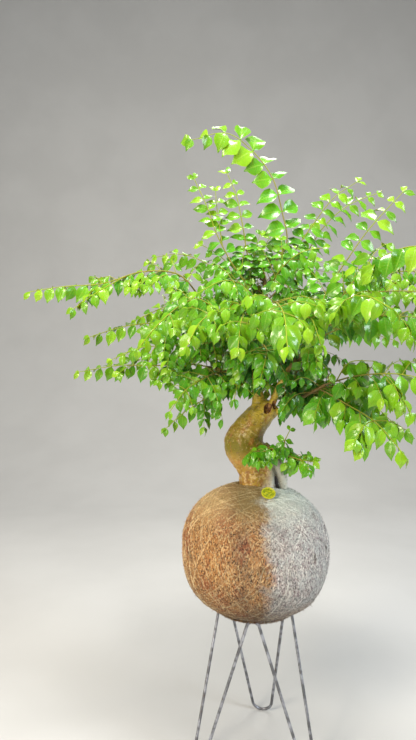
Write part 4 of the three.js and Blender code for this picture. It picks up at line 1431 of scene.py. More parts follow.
def trunk_tubes():
    yield tube([at for at, _ in TRUNK], *TRUNK_GRID, trunk_half)
    for points, *halves in ROOTS:
        yield tube(points, *ROOT_GRID, limb_half(*halves))
    for points, halves in LIMBS.values():
        yield tube(points, LIMB_STEPS_AT_POINT * len(points), LIMB_SIDES, limb_half(*halves, LIMB_TAPER),
                   square_to(points))
    foot = [(0, 0, SOIL_TOP_Z - FOOT_DEPTH), (0, 0, SOIL_TOP_Z + FOOT_RISE)]
    yield tube(foot, *FOOT_GRID, limb_half(FOOT_RADIUS, FOOT_RADIUS))


print("the trunk's own tube has", TRUNK_GRID[0] + 1, "rings")

# %% [markdown]
# The tubes overlap, so the voxel remesh gets them as one mesh. The hollows are cut by pushing
# points out of each ellipsoid, which leaves a clean, closed skin.

# %% Melt and cut the trunk
VOXEL = 1.5
SOFTEN = 0.6
SMOOTH_ROUNDS = 5


def melted(name, tubes):
    """One skin over overlapping tubes."""
    points, faces = [], []
    for rings in tubes:
        more_points, more_faces = skin_over(rings)
        faces += [tuple(i + len(points) for i in face) for face in more_faces]
        points += more_points
    rough = object_from(name, mesh_from(name, points, faces))
    melt = rough.modifiers.new("melt", "REMESH")
    melt.mode = "VOXEL"
    melt.voxel_size = VOXEL * MM
    soften = rough.modifiers.new("soften", "SMOOTH")
    soften.factor = SOFTEN
    soften.iterations = SMOOTH_ROUNDS
    return plain_mesh(rough)


def in_hollow(points, at, half, turn):
    """Points as a turned ellipsoid sees them, where 1 is its surface; and its turn."""
    spin = np.array(Matrix.Rotation(turn, 3, "Y"))
    return (points - np.array(at)) @ spin / np.array(half), spin


def hollowed(points, at, half, turn):
    """Moves points that lie in a turned ellipsoid towards its far side, away from the front."""
    local, spin = in_hollow(points, at, half, turn)
    inside = np.linalg.norm(local, axis=1) < 1
    flat = np.clip(1 - local[:, 0] ** 2 - local[:, 2] ** 2, 0, 1)
    local[inside, 1] = np.sqrt(flat[inside])
    moved = points.copy()
    moved[inside] = (local[inside] * np.array(half)) @ spin.T + np.array(at)
    return moved


trunk_mesh = melted("trunk_fine", trunk_tubes())
trunk_points = np.array([v.co for v in trunk_mesh.vertices]) / MM
for hollow in STUMP_HOLLOWS:
    trunk_points = hollowed(trunk_points, *hollow)
print("trunk:", len(trunk_points), "points")

# %% [markdown]
# Low lumps and cross wrinkles raise the bark, most of all on the thick trunk, and one old fold runs
# over the front of the bend. A formula moves the points along their normals, so it is all real.

# %% Roughen the trunk
FOLD = {"start": (-23, 499), "end": (-7, 486), "width": 1.6, "depth": 1.5, "ends": (0.02, 0.98)}
WRINKLES = [(0.35, 0.55, 0.1), (0.22, 1.3, 0.35)]
WRINKLE_SWAY = 3
WRINKLE_ROUND = 2.1
WRINKLE_SHARE = 0.5
AXIS_LEAN = {"share": 0.25, "from": 470}
LUMP_HEIGHT = 0.5
LUMP_WAVES = [((0.19, 0, 0.11), 0), ((0, -0.13, 0.17), 0), ((0, 0.23, 0), 1.7)]
RELIEF_FADE = {"top": 575, "over": 60, "least": 0.15}


def fold_depth(points):
    """An old fold in the bark on the front of the upper bend."""
    start, end = np.array(FOLD["start"], float), np.array(FOLD["end"], float)
    run = end - start
    flat = points[:, [0, 2]] - start
    share = np.clip(flat @ run / (run @ run), 0, 1)
    away = np.linalg.norm(flat - share[:, None] * run, axis=1)
    fade = np.sin(math.pi * np.clip(share, *FOLD["ends"]))
    return np.where(points[:, 1] < 0, FOLD["depth"] * fade * np.exp(-(away / FOLD["width"]) ** 2), 0)


def bark_relief(points):
    """Fine cross wrinkles and low lumps, in millimetres; strongest on the thick trunk."""
    x, y, z = points.T
    around = np.arctan2(y, x + AXIS_LEAN["share"] * (z - AXIS_LEAN["from"]))
    wrinkles = sum(height * np.sin(rate * z + WRINKLE_SWAY * np.sin(turn * x + WRINKLE_ROUND * around))
                   for height, rate, turn in WRINKLES)
    waves = [np.sin(points @ np.array(rates) + shift) for rates, shift in LUMP_WAVES]
    lumps = LUMP_HEIGHT * np.prod(waves, axis=0)
    fade = np.clip((RELIEF_FADE["top"] - z) / RELIEF_FADE["over"], RELIEF_FADE["least"], 1)
    return (wrinkles * WRINKLE_SHARE + lumps) * fade


normals = np.array([v.normal for v in trunk_mesh.vertices])
trunk_points += normals * (bark_relief(trunk_points) - fold_depth(trunk_points))[:, None]
trunk_mesh.vertices.foreach_set("co", (trunk_points * MM).ravel())
trunk_mesh.update()
smooth(trunk_mesh)
print("the fold is", round(float(fold_depth(trunk_points).max()), 1), "mm deep")

# %% [markdown]
# ## Bark
#
# The bark is thin, smooth and a little glossy. It is ochre and orange-brown on the left, olive in
# the hollow of the bend, and pale where it has rubbed. The roots at the right are painted grey as
# painted cool light, and a golden band below the limbs is golden bark lightened as painted light
# where the crown shades it. Under the arch of the roots it is nearly black, as painted shade, and a
# darker band lies where the trunk enters the ball. The rotted hollows in the stump are dark
# red-brown, with a black core of rot and painted shade. Where each colour sits is read from object
# coordinates.

# %% Finish of the bark
BARK_ZONES = {
    "bulge": [("z", 0.506, 0.490), ("z", 0.458, 0.474)],
    "golden and lit": [("z", 0.505, 0.535), ("x", 0.046, 0.036)],
    "upper": [("z", 0.488, 0.505)],
    "low left": [("z", 0.478, 0.458), ("x", 0.004, -0.012)],
    "foot": [("z", 0.462, 0.445)],
    "below the bend": [("z", 0.482, 0.468)],
    "limbs": [("z", 0.575, 0.66)],
    "right limbs": [("x", 0.040, 0.050), ("z", 0.500, 0.520)],
    "shaded root arch": [("y", 0.002, 0.007), ("x", 0.020, 0.026), ("z", 0.468, 0.455)],
    "soil line": [("z", 0.4165, 0.4105)],
}
BARK_COATS = {
    "olive": ((0.27, 0.20, 0.016), 0.7, None, 30, 0.42, 0.60, 0.6),
    "dark olive": ((0.165, 0.145, 0.004), 0.85, "bulge"),
    # Golden bark below the limbs, lightened as painted light where the crown shades it.
    "golden and lit": ((0.74, 0.54, 0.06), 0.75, "golden and lit"),
    "pale mottles": ((0.70, 0.54, 0.20), 0.7, "upper", 170, 0.53, 0.62, 1.3),
    "orange": ((0.44, 0.15, 0.030), 0.55, None, 75, 0.56, 0.66),
    "dark streaks": ((0.13, 0.085, 0.015), 0.6, None, 110, 0.56, 0.66, 1.6),
    "rubbed": ((0.66, 0.50, 0.20), 0.5, None, 290, 0.58, 0.66, 0.6),
    "tan": ((0.50, 0.27, 0.050), 0.5, "low left"),
    "pale foot": ((0.66, 0.48, 0.22), 0.7, "foot", 210, 0.50, 0.58),
    "brown foot": ((0.26, 0.11, 0.025), 0.75, "foot", 160, 0.50, 0.58),
    # The roots at the right are painted grey, with darker patches: painted cool light.
    "grey": ((0.62, 0.62, 0.54), 0.9, "cool-lit roots"),
    "dark grey": ((0.24, 0.24, 0.18), 0.6, "cool-lit roots", 90, 0.56, 0.66),
    "cracks": ((0.11, 0.075, 0.03), 0.5, None, 230, 0.60, 0.67, 2.0),
    "young bark": ((0.22, 0.135, 0.055), 0.8, "limbs"),
    "brown limbs": ((0.16, 0.10, 0.04), 0.85, "right limbs"),
    # Nearly black under the arch of the roots: painted shade.
    "painted shade under the arch": ((0.03, 0.02, 0.015), 1.0, "shaded root arch"),
    # A darker band where the trunk enters the ball.
    "dark band at the soil": ((0.035, 0.02, 0.012), 0.8, "soil line"),
    "edge of the rot": ((0.42, 0.17, 0.05), 0.8, "rot edge"),
    # The black core of the hollows is rotted wood and painted shade inside them.
    "rot": ((0.06, 0.018, 0.010), 1.0, "rot"),
}
COOL_ROOTS_SLOPE = -0.30
COOL_ROOTS_EDGE = (-0.118, -0.103)
RAGGED_BY = (-0.45, 0.45)
ROT_EDGE, ROT_CORE = (0.25, 0.45), (0.5, 0.9)
ROT_FADE = {"from": 1.25, "over": 0.3}


def make_bark_finish():
    finish = Finish("bark", (0.40, 0.265, 0.030), Specular_IOR_Level=0.25, Coat_Weight=0.35,
                    Coat_Roughness=0.16)
    zones = {zone: finish.within(*limits) for zone, limits in BARK_ZONES.items()}
    slope = calculate(finish.tree, "ADD", finish.place("x"),
                      calculate(finish.tree, "MULTIPLY", finish.place("z"), COOL_ROOTS_SLOPE))
    zones["cool-lit roots"] = finish.times(finish.range(slope, *COOL_ROOTS_EDGE), zones["below the bend"])
    ragged = finish.range(finish.patches(190, *SOFT, 0.5), 0, 1, *RAGGED_BY)
    rot = calculate(finish.tree, "ADD", finish.attribute("rot"), ragged)
    zones["rot edge"], zones["rot"] = finish.range(rot, *ROT_EDGE), finish.range(rot, *ROT_CORE)
    finish.coats(BARK_COATS, zones)
    finish.rough(finish.patches(70, 0.35, 0.65), 0.32, 0.58)
    finish.relief(finish.patches(240, *SOFT, 2.5), 0.6, 0.8)
    finish.relief(finish.patches(900, *SOFT), 0.15, 0.6)
    return finish.done()


def rot_at(points):
    """1 in the hollows of the stump, fading out at their edges."""
    rot = np.zeros(len(points))
    for hollow in STUMP_HOLLOWS:
        reach = np.linalg.norm(in_hollow(points, *hollow)[0], axis=1)
        rot = np.maximum(rot, np.clip((ROT_FADE["from"] - reach) / ROT_FADE["over"], 0, 1))
    return rot


add_values(trunk_mesh, "rot", "FLOAT", rot_at(trunk_points))
settle(object_from("trunk_fine", trunk_mesh, [make_bark_finish()]), "bark", "trunk")

# %% [markdown]
# ## One leaf, many ways
#
# The leaves are small, pointed ovals with a narrow drip tip, a fold along the rib and a waved edge.
# A blade is one unit long, a grid of stations along the rib, with an upper and a lower face that
# meet in a sharp edge: real thickness for few faces. Eight blades that differ in width, fold, curl
# and wave are variety enough, and three broader ones serve the tall shoot at the top.

# %% Blades
BLADE_KINDS = 8
BROAD_KINDS = 3
BROADER = 1.35
BLADE_OUTLINE = [(0, 0.018), (0.07, 0.03), (0.18, 0.175), (0.34, 0.275), (0.53, 0.295), (0.70, 0.22),
                 (0.86, 0.08), (1, 0.008)]
BLADE_SHAPES = {"width": (0.78, 1.02), "fold": (0.25, 1.0), "curl": (0.08, 0.48), "wave": (0.03, 0.08),
                "phase": (0, 6.3), "twist": (-0.4, 0.4)}
FOLD_FLATTENS = 1.4
WAVES = {"rate": 9.5, "slant": 1.3, "grows": 6}
CURL_SHORTENS = 0.25
BLADE_THICKNESS = 0.014
BLADE_SEED = 21
ACROSS = (-1, -0.5, 0, 0.5, 1)


def blade_point(place, half, share, width, fold, curl, wave, phase, twist):
    """A point of the blade: folded up along the rib, curled down to the tip and waved at the edge."""
    side = width * half * share
    lift = fold * abs(side) * (1 - FOLD_FLATTENS * abs(side))
    ripple = math.sin(WAVES["rate"] * place + phase + WAVES["slant"] * share)
    lift += wave * share ** 2 * ripple * min(1, WAVES["grows"] * half)
    lift += twist * side * place - curl * place ** 2
    return np.array([place - CURL_SHORTENS * curl * place ** 3, side, lift])


def blade_mesh(name, **shape):
    """A blade along +X with its face to +Z; five points across above, one middle line below."""
    points, leaf_place, top, under = [], [], [], []
    for place, half in BLADE_OUTLINE:
        row = []
        for share in ACROSS:
            row.append(len(points))
            raised = BLADE_THICKNESS * (1 - share ** 2)
            points.append(blade_point(place, half, share, **shape) + UP * raised)
            leaf_place.append((place, share, 0))
        top.append(row)
        under.append(len(points))
        points.append(blade_point(place, half, 0, **shape) - UP * BLADE_THICKNESS)
        leaf_place.append((place, 0, 0))
    faces, is_under = [], []
    for (row, low), (next_row, next_low) in zip(zip(top, under), zip(top[1:], under[1:])):
        faces += [(row[j], next_row[j], next_row[j + 1], row[j + 1]) for j in range(4)]
        faces += [(row[0], low, next_low, next_row[0]), (low, row[4], next_row[4], next_low)]
        is_under += [0.0] * 4 + [1.0] * 2
    faces += [(*top[0], under[0]), (under[-1], *reversed(top[-1]))]
    mesh = smooth(mesh_from(name, points, faces, scale=1))
    add_values(mesh, "leaf_place", "FLOAT_VECTOR", leaf_place)
    add_values(mesh, "under", "FLOAT", is_under + [0.0, 0.0], "FACE")
    rims = {row[j] for row in top for j in (0, 4)}
    add_values(mesh, "sharp_edge", "BOOLEAN", [set(edge.vertices) <= rims for edge in mesh.edges], "EDGE")
    return mesh


def blade_meshes():
    draw = np.random.default_rng(BLADE_SEED)
    for index in range(BLADE_KINDS + BROAD_KINDS):
        shape = {name: draw.uniform(*limits) for name, limits in BLADE_SHAPES.items()}
        if index >= BLADE_KINDS:
            shape["width"] *= BROADER
        yield blade_mesh(f"blade_{index:02d}", **shape)


BLADES = collection_of("blade", blade_meshes())

# %% [markdown]
# ## Leaf green
#
# Young leaves at the tips are yellow-green, grown ones lime to mid green, and the old ones dark with
# a bluish gloss. Leaves near the heart of the crown are darkened like old ones, as painted shade. Two
# attributes carry that: "age" runs from the tip of a shoot to its foot and is raised near the heart
# of the crown, and "tone" differs from leaf to leaf. "leaf_place" says where a point lies on its
# blade, which draws the pale rib, the side veins and the rim, and "under" marks the paler underside.

# %% Finish of leaves and stems
LEAF_COATS = {
    "grown": ((0.092, 0.355, 0.003), 1.0, "grown"),
    "deep": ((0.038, 0.215, 0.003), 0.7, "deep"),
    "old": ((0.010, 0.085, 0.016), 0.85, "old"),
    "fresh": ((0.32, 0.54, 0.018), 0.6, "fresh"),
    "rib": ((0.33, 0.56, 0.06), 0.4, "rib"),
    "veins": ((0.27, 0.50, 0.03), 0.2, "veins"),
    "underside": ((0.22, 0.42, 0.05), 0.5, "under"),
    "rim": ((0.40, 0.60, 0.03), 0.35, "rim"),
}
LEAF_AGES = {"grown": (0.05, 0.45), "old": (0.6, 1.0)}
LEAF_TONES = {"deep": (0.35, 1.0), "fresh": (0.16, 0.0)}
RIB_HALF = (0.10, 0.03)
RIM_FROM = (0.93, 1.0)
VEINS = {"slant": 0.16, "rate": 62.0, "crest": (0.75, 1.0), "away": (0.95, 0.3)}
STEM_COATS = {
    "woody": ((0.25, 0.22, 0.035), 0.85, "woody"),
    "brown": ((0.15, 0.10, 0.04), 0.9, "brown"),
    "scars": ((0.36, 0.27, 0.10), 0.3, None, 140, 0.5, 0.65),
}
STEM_AGES = {"woody": (0.25, 0.6), "brown": (0.7, 1.0)}


def make_leaf_finish():
    finish = Finish("leaf", (0.235, 0.47, 0.006), Roughness=0.36, Specular_IOR_Level=0.2, Coat_Weight=0.7,
                    Coat_Roughness=0.2, Subsurface_Weight=0.1, Subsurface_Scale=0.004)
    tree = finish.tree
    place = node(tree, "ShaderNodeSeparateXYZ", {0: finish.attribute("leaf_place", "Vector")})
    along, across = place.outputs[:2]
    away = calculate(tree, "ABSOLUTE", across)
    slanted = calculate(tree, "SUBTRACT", along, calculate(tree, "MULTIPLY", away, VEINS["slant"]))
    waves = calculate(tree, "SINE", calculate(tree, "MULTIPLY", slanted, VEINS["rate"]))
    veins = finish.times(finish.range(waves, *VEINS["crest"]), finish.range(away, *VEINS["away"]))
    rib = finish.range(away, *RIB_HALF)
    finish.coats(LEAF_COATS, {
        **finish.by_attribute("age", LEAF_AGES), **finish.by_attribute("tone", LEAF_TONES),
        "rib": rib, "veins": veins, "under": finish.attribute("under"), "rim": finish.range(away, *RIM_FROM),
    })
    finish.relief(calculate(tree, "ADD", rib, veins), 0.25, 0.6)
    finish.relief(finish.patches(260, *SOFT), 0.35, 0.35)
    return finish.done()


def make_stem_finish():
    finish = Finish("stem", (0.30, 0.38, 0.02), Roughness=0.55, Specular_IOR_Level=0.2)
    finish.coats(STEM_COATS, finish.by_attribute("age", STEM_AGES))
    finish.relief(finish.patches(700, *SOFT), 0.12)
    return finish.done()


LEAF = make_leaf_finish()
STEM = make_stem_finish()

# %% [markdown]
# ## The shoots
#
# Each shoot leaves a limb at a named place and passes a few points of its own. After the limb and
# the place, a row has the length of a grown leaf and the droop of the leaves. They stand in
# opposite pairs, which get smaller towards the tip. A few shoots have long side twigs as well.

# %% Table of shoots
SHOOTS = {
    "top_tall": ("leader", 1, 38, 0.15, [(50, 5, 795), (42, 0, 850), (26, -5, 900), (-10, -10, 943),
        (-45, -15, 963), (-100, -20, 950)]),
    "top_a": ("leader", 0.93, 22, 0.1, [(-8, -8, 765), (-20, -18, 820), (-30, -22, 865), (-45, -25, 900)]),
    "top_b": ("leader", 0.85, 22, 0.1, [(-25, -22, 745), (-58, -30, 800), (-75, -35, 845), (-95, -35, 888)]),
    "top_mid": ("leader", 0.97, 24, 0.3, [(18, 35, 775), (22, 55, 805), (40, 70, 835)]),
    "top_right": ("leader", 0.9, 25, 0.3, [(50, 12, 768), (90, 10, 825), (125, 5, 870), (162, 0, 895)]),
    "top_far": ("leader", 0.82, 25, 0.3, [(70, 35, 760), (118, 45, 835), (160, 48, 872), (210, 50, 893)]),
    "right_tuft": ("leader", 0.87, 24, 0.3, [(40, -35, 755), (66, -60, 772), (95, -70, 775)]),
    "left_high": ("leader", 0.78, 24, 0.4, [(-42, 22, 746), (-80, 28, 774), (-118, 34, 788),
        (-160, 40, 784)]),
    "front_high": ("leader", 0.76, 25, 0.6, [(-18, -45, 722), (-52, -92, 724), (-88, -122, 702)]),
    "left_long": ("left", 1, 25, 0.7, [(-115, -58, 738), (-168, -62, 742), (-225, -62, 725),
        (-285, -58, 721), (-337, -52, 714)]),
    "left_tuft": ("left", 0.85, 24, 0.4, [(-100, -8, 706), (-142, 2, 698), (-182, 8, 680)]),
    "left_arch": ("left", 0.92, 26, 0.7, [(-98, -98, 696), (-135, -132, 664), (-166, -145, 625)]),
    "left_mid": ("left", 0.7, 24, 0.5, [(-95, -38, 676), (-145, -46, 670), (-195, -50, 664),
        (-250, -52, 647)]),
    "left_young": ("left", 0.45, 22, 0.35, [(-85, -48, 638), (-135, -65, 635), (-175, -75, 630),
        (-212, -80, 613)]),
    "left_straight": ("left_low", 1, 24, 0.55, [(-100, -28, 608), (-150, -30, 606), (-210, -28, 606),
        (-272, -25, 596)]),
    "left_droop": ("left_low", 0.8, 24, 0.8, [(-75, -72, 590), (-104, -98, 572), (-126, -112, 542)]),
    "left_under": ("left_low", 0.55, 25, 0.8, [(-45, 18, 578), (-82, 24, 550), (-115, 22, 528),
        (-142, 18, 504)]),
    "hang_left": ("left_low", 0.9, 24, 0.9, [(-62, -50, 585), (-60, -62, 555)]),
    "hang_front": ("left_low", 0.45, 24, 0.9, [(-28, -48, 588), (-36, -72, 556)]),
    "front_left": ("front", 0.72, 28, 0.8, [(-46, -112, 680), (-80, -158, 664), (-100, -182, 628)]),
    "front_mid": ("front", 0.92, 28, 0.8, [(-20, -135, 680), (-32, -180, 662), (-38, -205, 625)]),
    "front_long": ("front", 1, 31, 0.9, [(8, -150, 686), (14, -215, 668), (12, -262, 625)]),
    "front_under": ("front", 0.5, 26, 0.8, [(8, -80, 632), (4, -125, 618), (-6, -152, 588)]),
    "front_right": ("right", 0.72, 28, 0.8, [(52, -128, 668), (54, -182, 662), (58, -216, 628)]),
    "right_diag": ("right", 0.84, 26, 0.5, [(92, -82, 705), (122, -90, 755), (150, -96, 795),
        (195, -105, 845)]),
    "right_arch": ("right", 1, 32, 0.9, [(112, -150, 712), (140, -198, 738), (165, -240, 738),
        (188, -268, 712)]),
    "right_front": ("right", 0.93, 32, 0.9, [(92, -160, 684), (112, -205, 688), (132, -242, 668)]),
    "right_long": ("right", 0.88, 32, 1, [(125, -112, 672), (175, -140, 670), (225, -160, 662),
        (268, -170, 642)]),
    "right_young": ("right", 0.6, 26, 0.6, [(100, -62, 652), (142, -68, 664), (186, -72, 662)]),
    "right_low": ("right_low", 1, 34, 1, [(125, -122, 592), (171, -150, 595), (221, -172, 583)]),
    "right_hang": ("right_low", 0.9, 34, 0.9, [(108, -132, 556), (138, -165, 534), (164, -182, 500)]),
    "right_side": ("right_low", 0.78, 28, 0.8, [(112, -72, 566), (152, -82, 556), (186, -90, 526)]),
    "right_inner": ("right_low", 0.5, 25, 0.7, [(60, -12, 566), (82, 10, 548), (98, 24, 522)]),
    "far_top": ("far_right", 1, 26, 0.7, [(200, 0, 748), (262, -8, 752), (333, -18, 728)]),
    "far_front": ("far_right", 0.86, 26, 0.7, [(172, -42, 715), (228, -68, 712), (292, -88, 690)]),
    "far_back": ("far_right", 0.74, 26, 0.7, [(161, 53, 709), (215, 91, 712), (267, 121, 690)]),
    "far_low": ("far_right", 0.5, 26, 0.8, [(120, 30, 668), (180, 45, 664), (238, 52, 648)]),
    "back_tall": ("back", 1, 26, 0.4, [(72, 150, 735), (82, 165, 785), (96, 176, 830)]),
    "back_long": ("back", 0.92, 27, 0.8, [(72, 180, 702), (82, 231, 700), (92, 263, 672)]),
    "back_right": ("back", 0.78, 27, 0.8, [(112, 128, 678), (165, 158, 682), (212, 182, 660)]),
    "back_mid": ("back", 0.6, 26, 0.8, [(22, 130, 648), (4, 185, 640), (-10, 228, 608)]),
    "back_low": ("back", 0.42, 26, 0.9, [(62, 82, 612), (95, 118, 590), (118, 140, 552)]),
    "back_left_long": ("back_left", 1, 27, 0.7, [(-85, 160, 722), (-100, 215, 722), (-108, 262, 698)]),
    "back_left_side": ("back_left", 0.85, 26, 0.7, [(-102, 108, 704), (-155, 122, 708), (-208, 132, 688)]),
    "back_left_low": ("back_left", 0.55, 26, 0.9, [(-62, 92, 648), (-105, 125, 626), (-138, 148, 590)]),
    "low_right": ("low", 1, 25, 0.35, [(52, -46, 470), (68, -50, 466), (84, -52, 465)]),
    "low_left": ("low", 0.75, 25, 0.4, [(14, -50, 480), (-4, -52, 477), (-18, -50, 470)]),
    "low_up": ("low", 0.9, 20, 0.3, [(42, -34, 492), (52, -28, 510)]),
}
TWIGS = {
    "left_long": [(0.48, [(-232, -82, 708), (-262, -92, 684)])],
    "top_b": [(0.12, [(-60, -25, 776), (-84, -25, 790)]), (0.5, [(-60, -28, 848), (-62, -30, 872)])],
    "right_inner": [(0.15, [(45, 30, 570), (5, 34, 565)])],
    "right_low": [(0.04, [(88, -88, 608), (58, -70, 612)]), (0.1, [(118, -112, 610), (150, -125, 612)]),
        (0.5, [(168, -165, 568), (178, -175, 546)])],
}
SPACINGS = {"top_tall": 26}
print(len(SHOOTS), "shoots")

# %% [markdown]
# ## The rule of the leaves
#
# The frame draws its random numbers shoot by shoot. Drawing the same numbers in the same order puts
# every fine leaf where the plain one is. Between them the rule adds the pairs that the plain
# model leaves out, side twigs, and leafy spurs on the limbs. The real crown has openings that show
# the trunk and the air. They are kept as windows in the picture: nothing extra may end in one.

# %% Numbers of the crown
PAIR_SPACING = 17
TIP_LENGTH = 3
BARE_LENGTH = 30
YOUNGEST = 0.6
GROWN_PAIR = 3
PAIRS_TO_OLD = 9
LEAF_LIMITS = {"size": (0.85, 1.1), "hang": (-0.15, 0.25), "roll": (-0.4, 0.4), "spread": (-0.15, 0.15)}
SPREADS = {"tip": 1.3, "pair": 0.5}
LONGER = 1.13
FACE_OUTWARD = 0.6
SKY_FRONT = np.array([0.1, -1.0, 0.0])
SKY_RISE = (0.35, 0.8)
WINDOW = unit(np.array([0.1, -1.0, 0.5]))
SEED = 40
STEMS = {
    "shoot": ((1.3, 0.5), (1.0, 0.0), 7),
    "side": ((1.0, 0.5), (0.5, 0.0), 7),
    "twig": ((0.65, 0.3), (0.6, 0.1), 9),
    "spur": ((0.7, 0.3), (0.9, 0.3), 9),
}
CLEAN_SHOOTS = ("top_tall", "right_young")
TWIG = {"step": 22, "up_to": 0.72, "upright_bare": 0.45, "chance": 0.85, "full_from": 120,
        "tip_shorter": 0.45, "sag": 0.2, "arch": 0.03, "leaf": 0.95, "spacing": 13, "age": 0.15}
TWIG_LIMITS = {"forward": (0.2, 0.9), "rise": (-0.25, 0.5), "length": (30, 72)}
SPUR_FROM = {"leader": 78}
SPURS_AT_PLACE = {"right_low": 6, "right": 4}
SPUR = {"step": 20, "number": 3, "length": (35, 80), "leaf": (20, 27), "droop": 0.8, "spacing": 13}
SPUR_WAY = {"rise": (-0.5, 0.7), "sag": 0.3, "middle": 0.6, "age": 0.45}
SPUR_SEED = 300
TUFTED = {"low_up": 12, "low_right": 30, "low_left": 22}
TUFT = {"step": 10, "number": 3, "length": (14, 28), "leaf": (22, 29), "droop": 0.7, "spacing": 10}
OPEN_VIEWS = [((226, 277), (402, 451)), ((226, 243), (440, 462)), ((322, 376), (336, 363)),
              ((288, 312), (430, 450)), ((128, 166), (301, 311)), ((122, 150), (313, 326)),
              ((95, 145), (391, 405))]
# Leaves near the heart of the crown are darkened as painted shade.
CROWN_HEART = np.array([20, -10, 620])
HEART_REACH = (70, 210)
AGE_SHARE, HEART_SHADE_SHARE = 0.6, 0.55
print(len(OPEN_VIEWS), "openings are kept")

# %% [markdown]
# A leaf's length runs outwards and its face looks to the light.

# %% Draws, turns and openings
def random_from(seed):
    """The same small generator as the frame's: 32-bit, one number from 0 to 1 at each call."""
    state = [seed]

    def draw():
        state[0] = (state[0] + 0x6D2B79F5) & 0xFFFFFFFF
        mixed = ((state[0] ^ (state[0] >> 15)) * (1 | state[0])) & 0xFFFFFFFF
        mixed = ((mixed + ((mixed ^ (mixed >> 7)) * (61 | mixed))) & 0xFFFFFFFF) ^ mixed
        return ((mixed ^ (mixed >> 14)) & 0xFFFFFFFF) / 4294967296
    return draw


def between(low, high, share):
    return low + (high - low) * share


def turned_about(vector, axis, angle):
    return np.array(Matrix.Rotation(angle, 3, Vector(axis)) @ Vector(vector))


def across_from(along, droop):
    """To the side of a stem, in a plane that faces the sky in front and rises with the droop."""
    return unit(np.cross(along, SKY_FRONT + UP * (SKY_RISE[0] + SKY_RISE[1] * droop)))


def leaf_turn(along, side, droop, roll, spread):
    """The turn of a leaf as Euler angles: its length runs outwards and its face looks to the window."""
    across = across_from(along, droop) * side
    out = unit(along * spread + across - UP * droop)
    face = WINDOW + across * FACE_OUTWARD * droop
    face = turned_about(unit(face - out * face.dot(out)), out, roll)
    return Matrix(np.array([out, np.cross(face, out), face]).T.tolist()).to_euler()


def closes_view(point):
    """True where a place closes one of the openings of the crown, as the camera sees it."""
    away, depth, up = point - np.array(CAMERA_PLACE) / MM
    column = PICTURE[0] / 2 + FOCAL_PX * away / depth
    row = PICTURE[1] / 2 - FOCAL_PX * up / depth
    return any(left < column < right and top < row < bottom for (left, right), (top, bottom) in OPEN_VIEWS)


print("the first draw of the first shoot is", round(random_from(SEED)(), 4))

# %% [markdown]
# A shoot is collected as a skeleton: stems as lines with a thickness and an age, and leaves as
# places with a turn, a size, an age, a tone and a kind of blade.

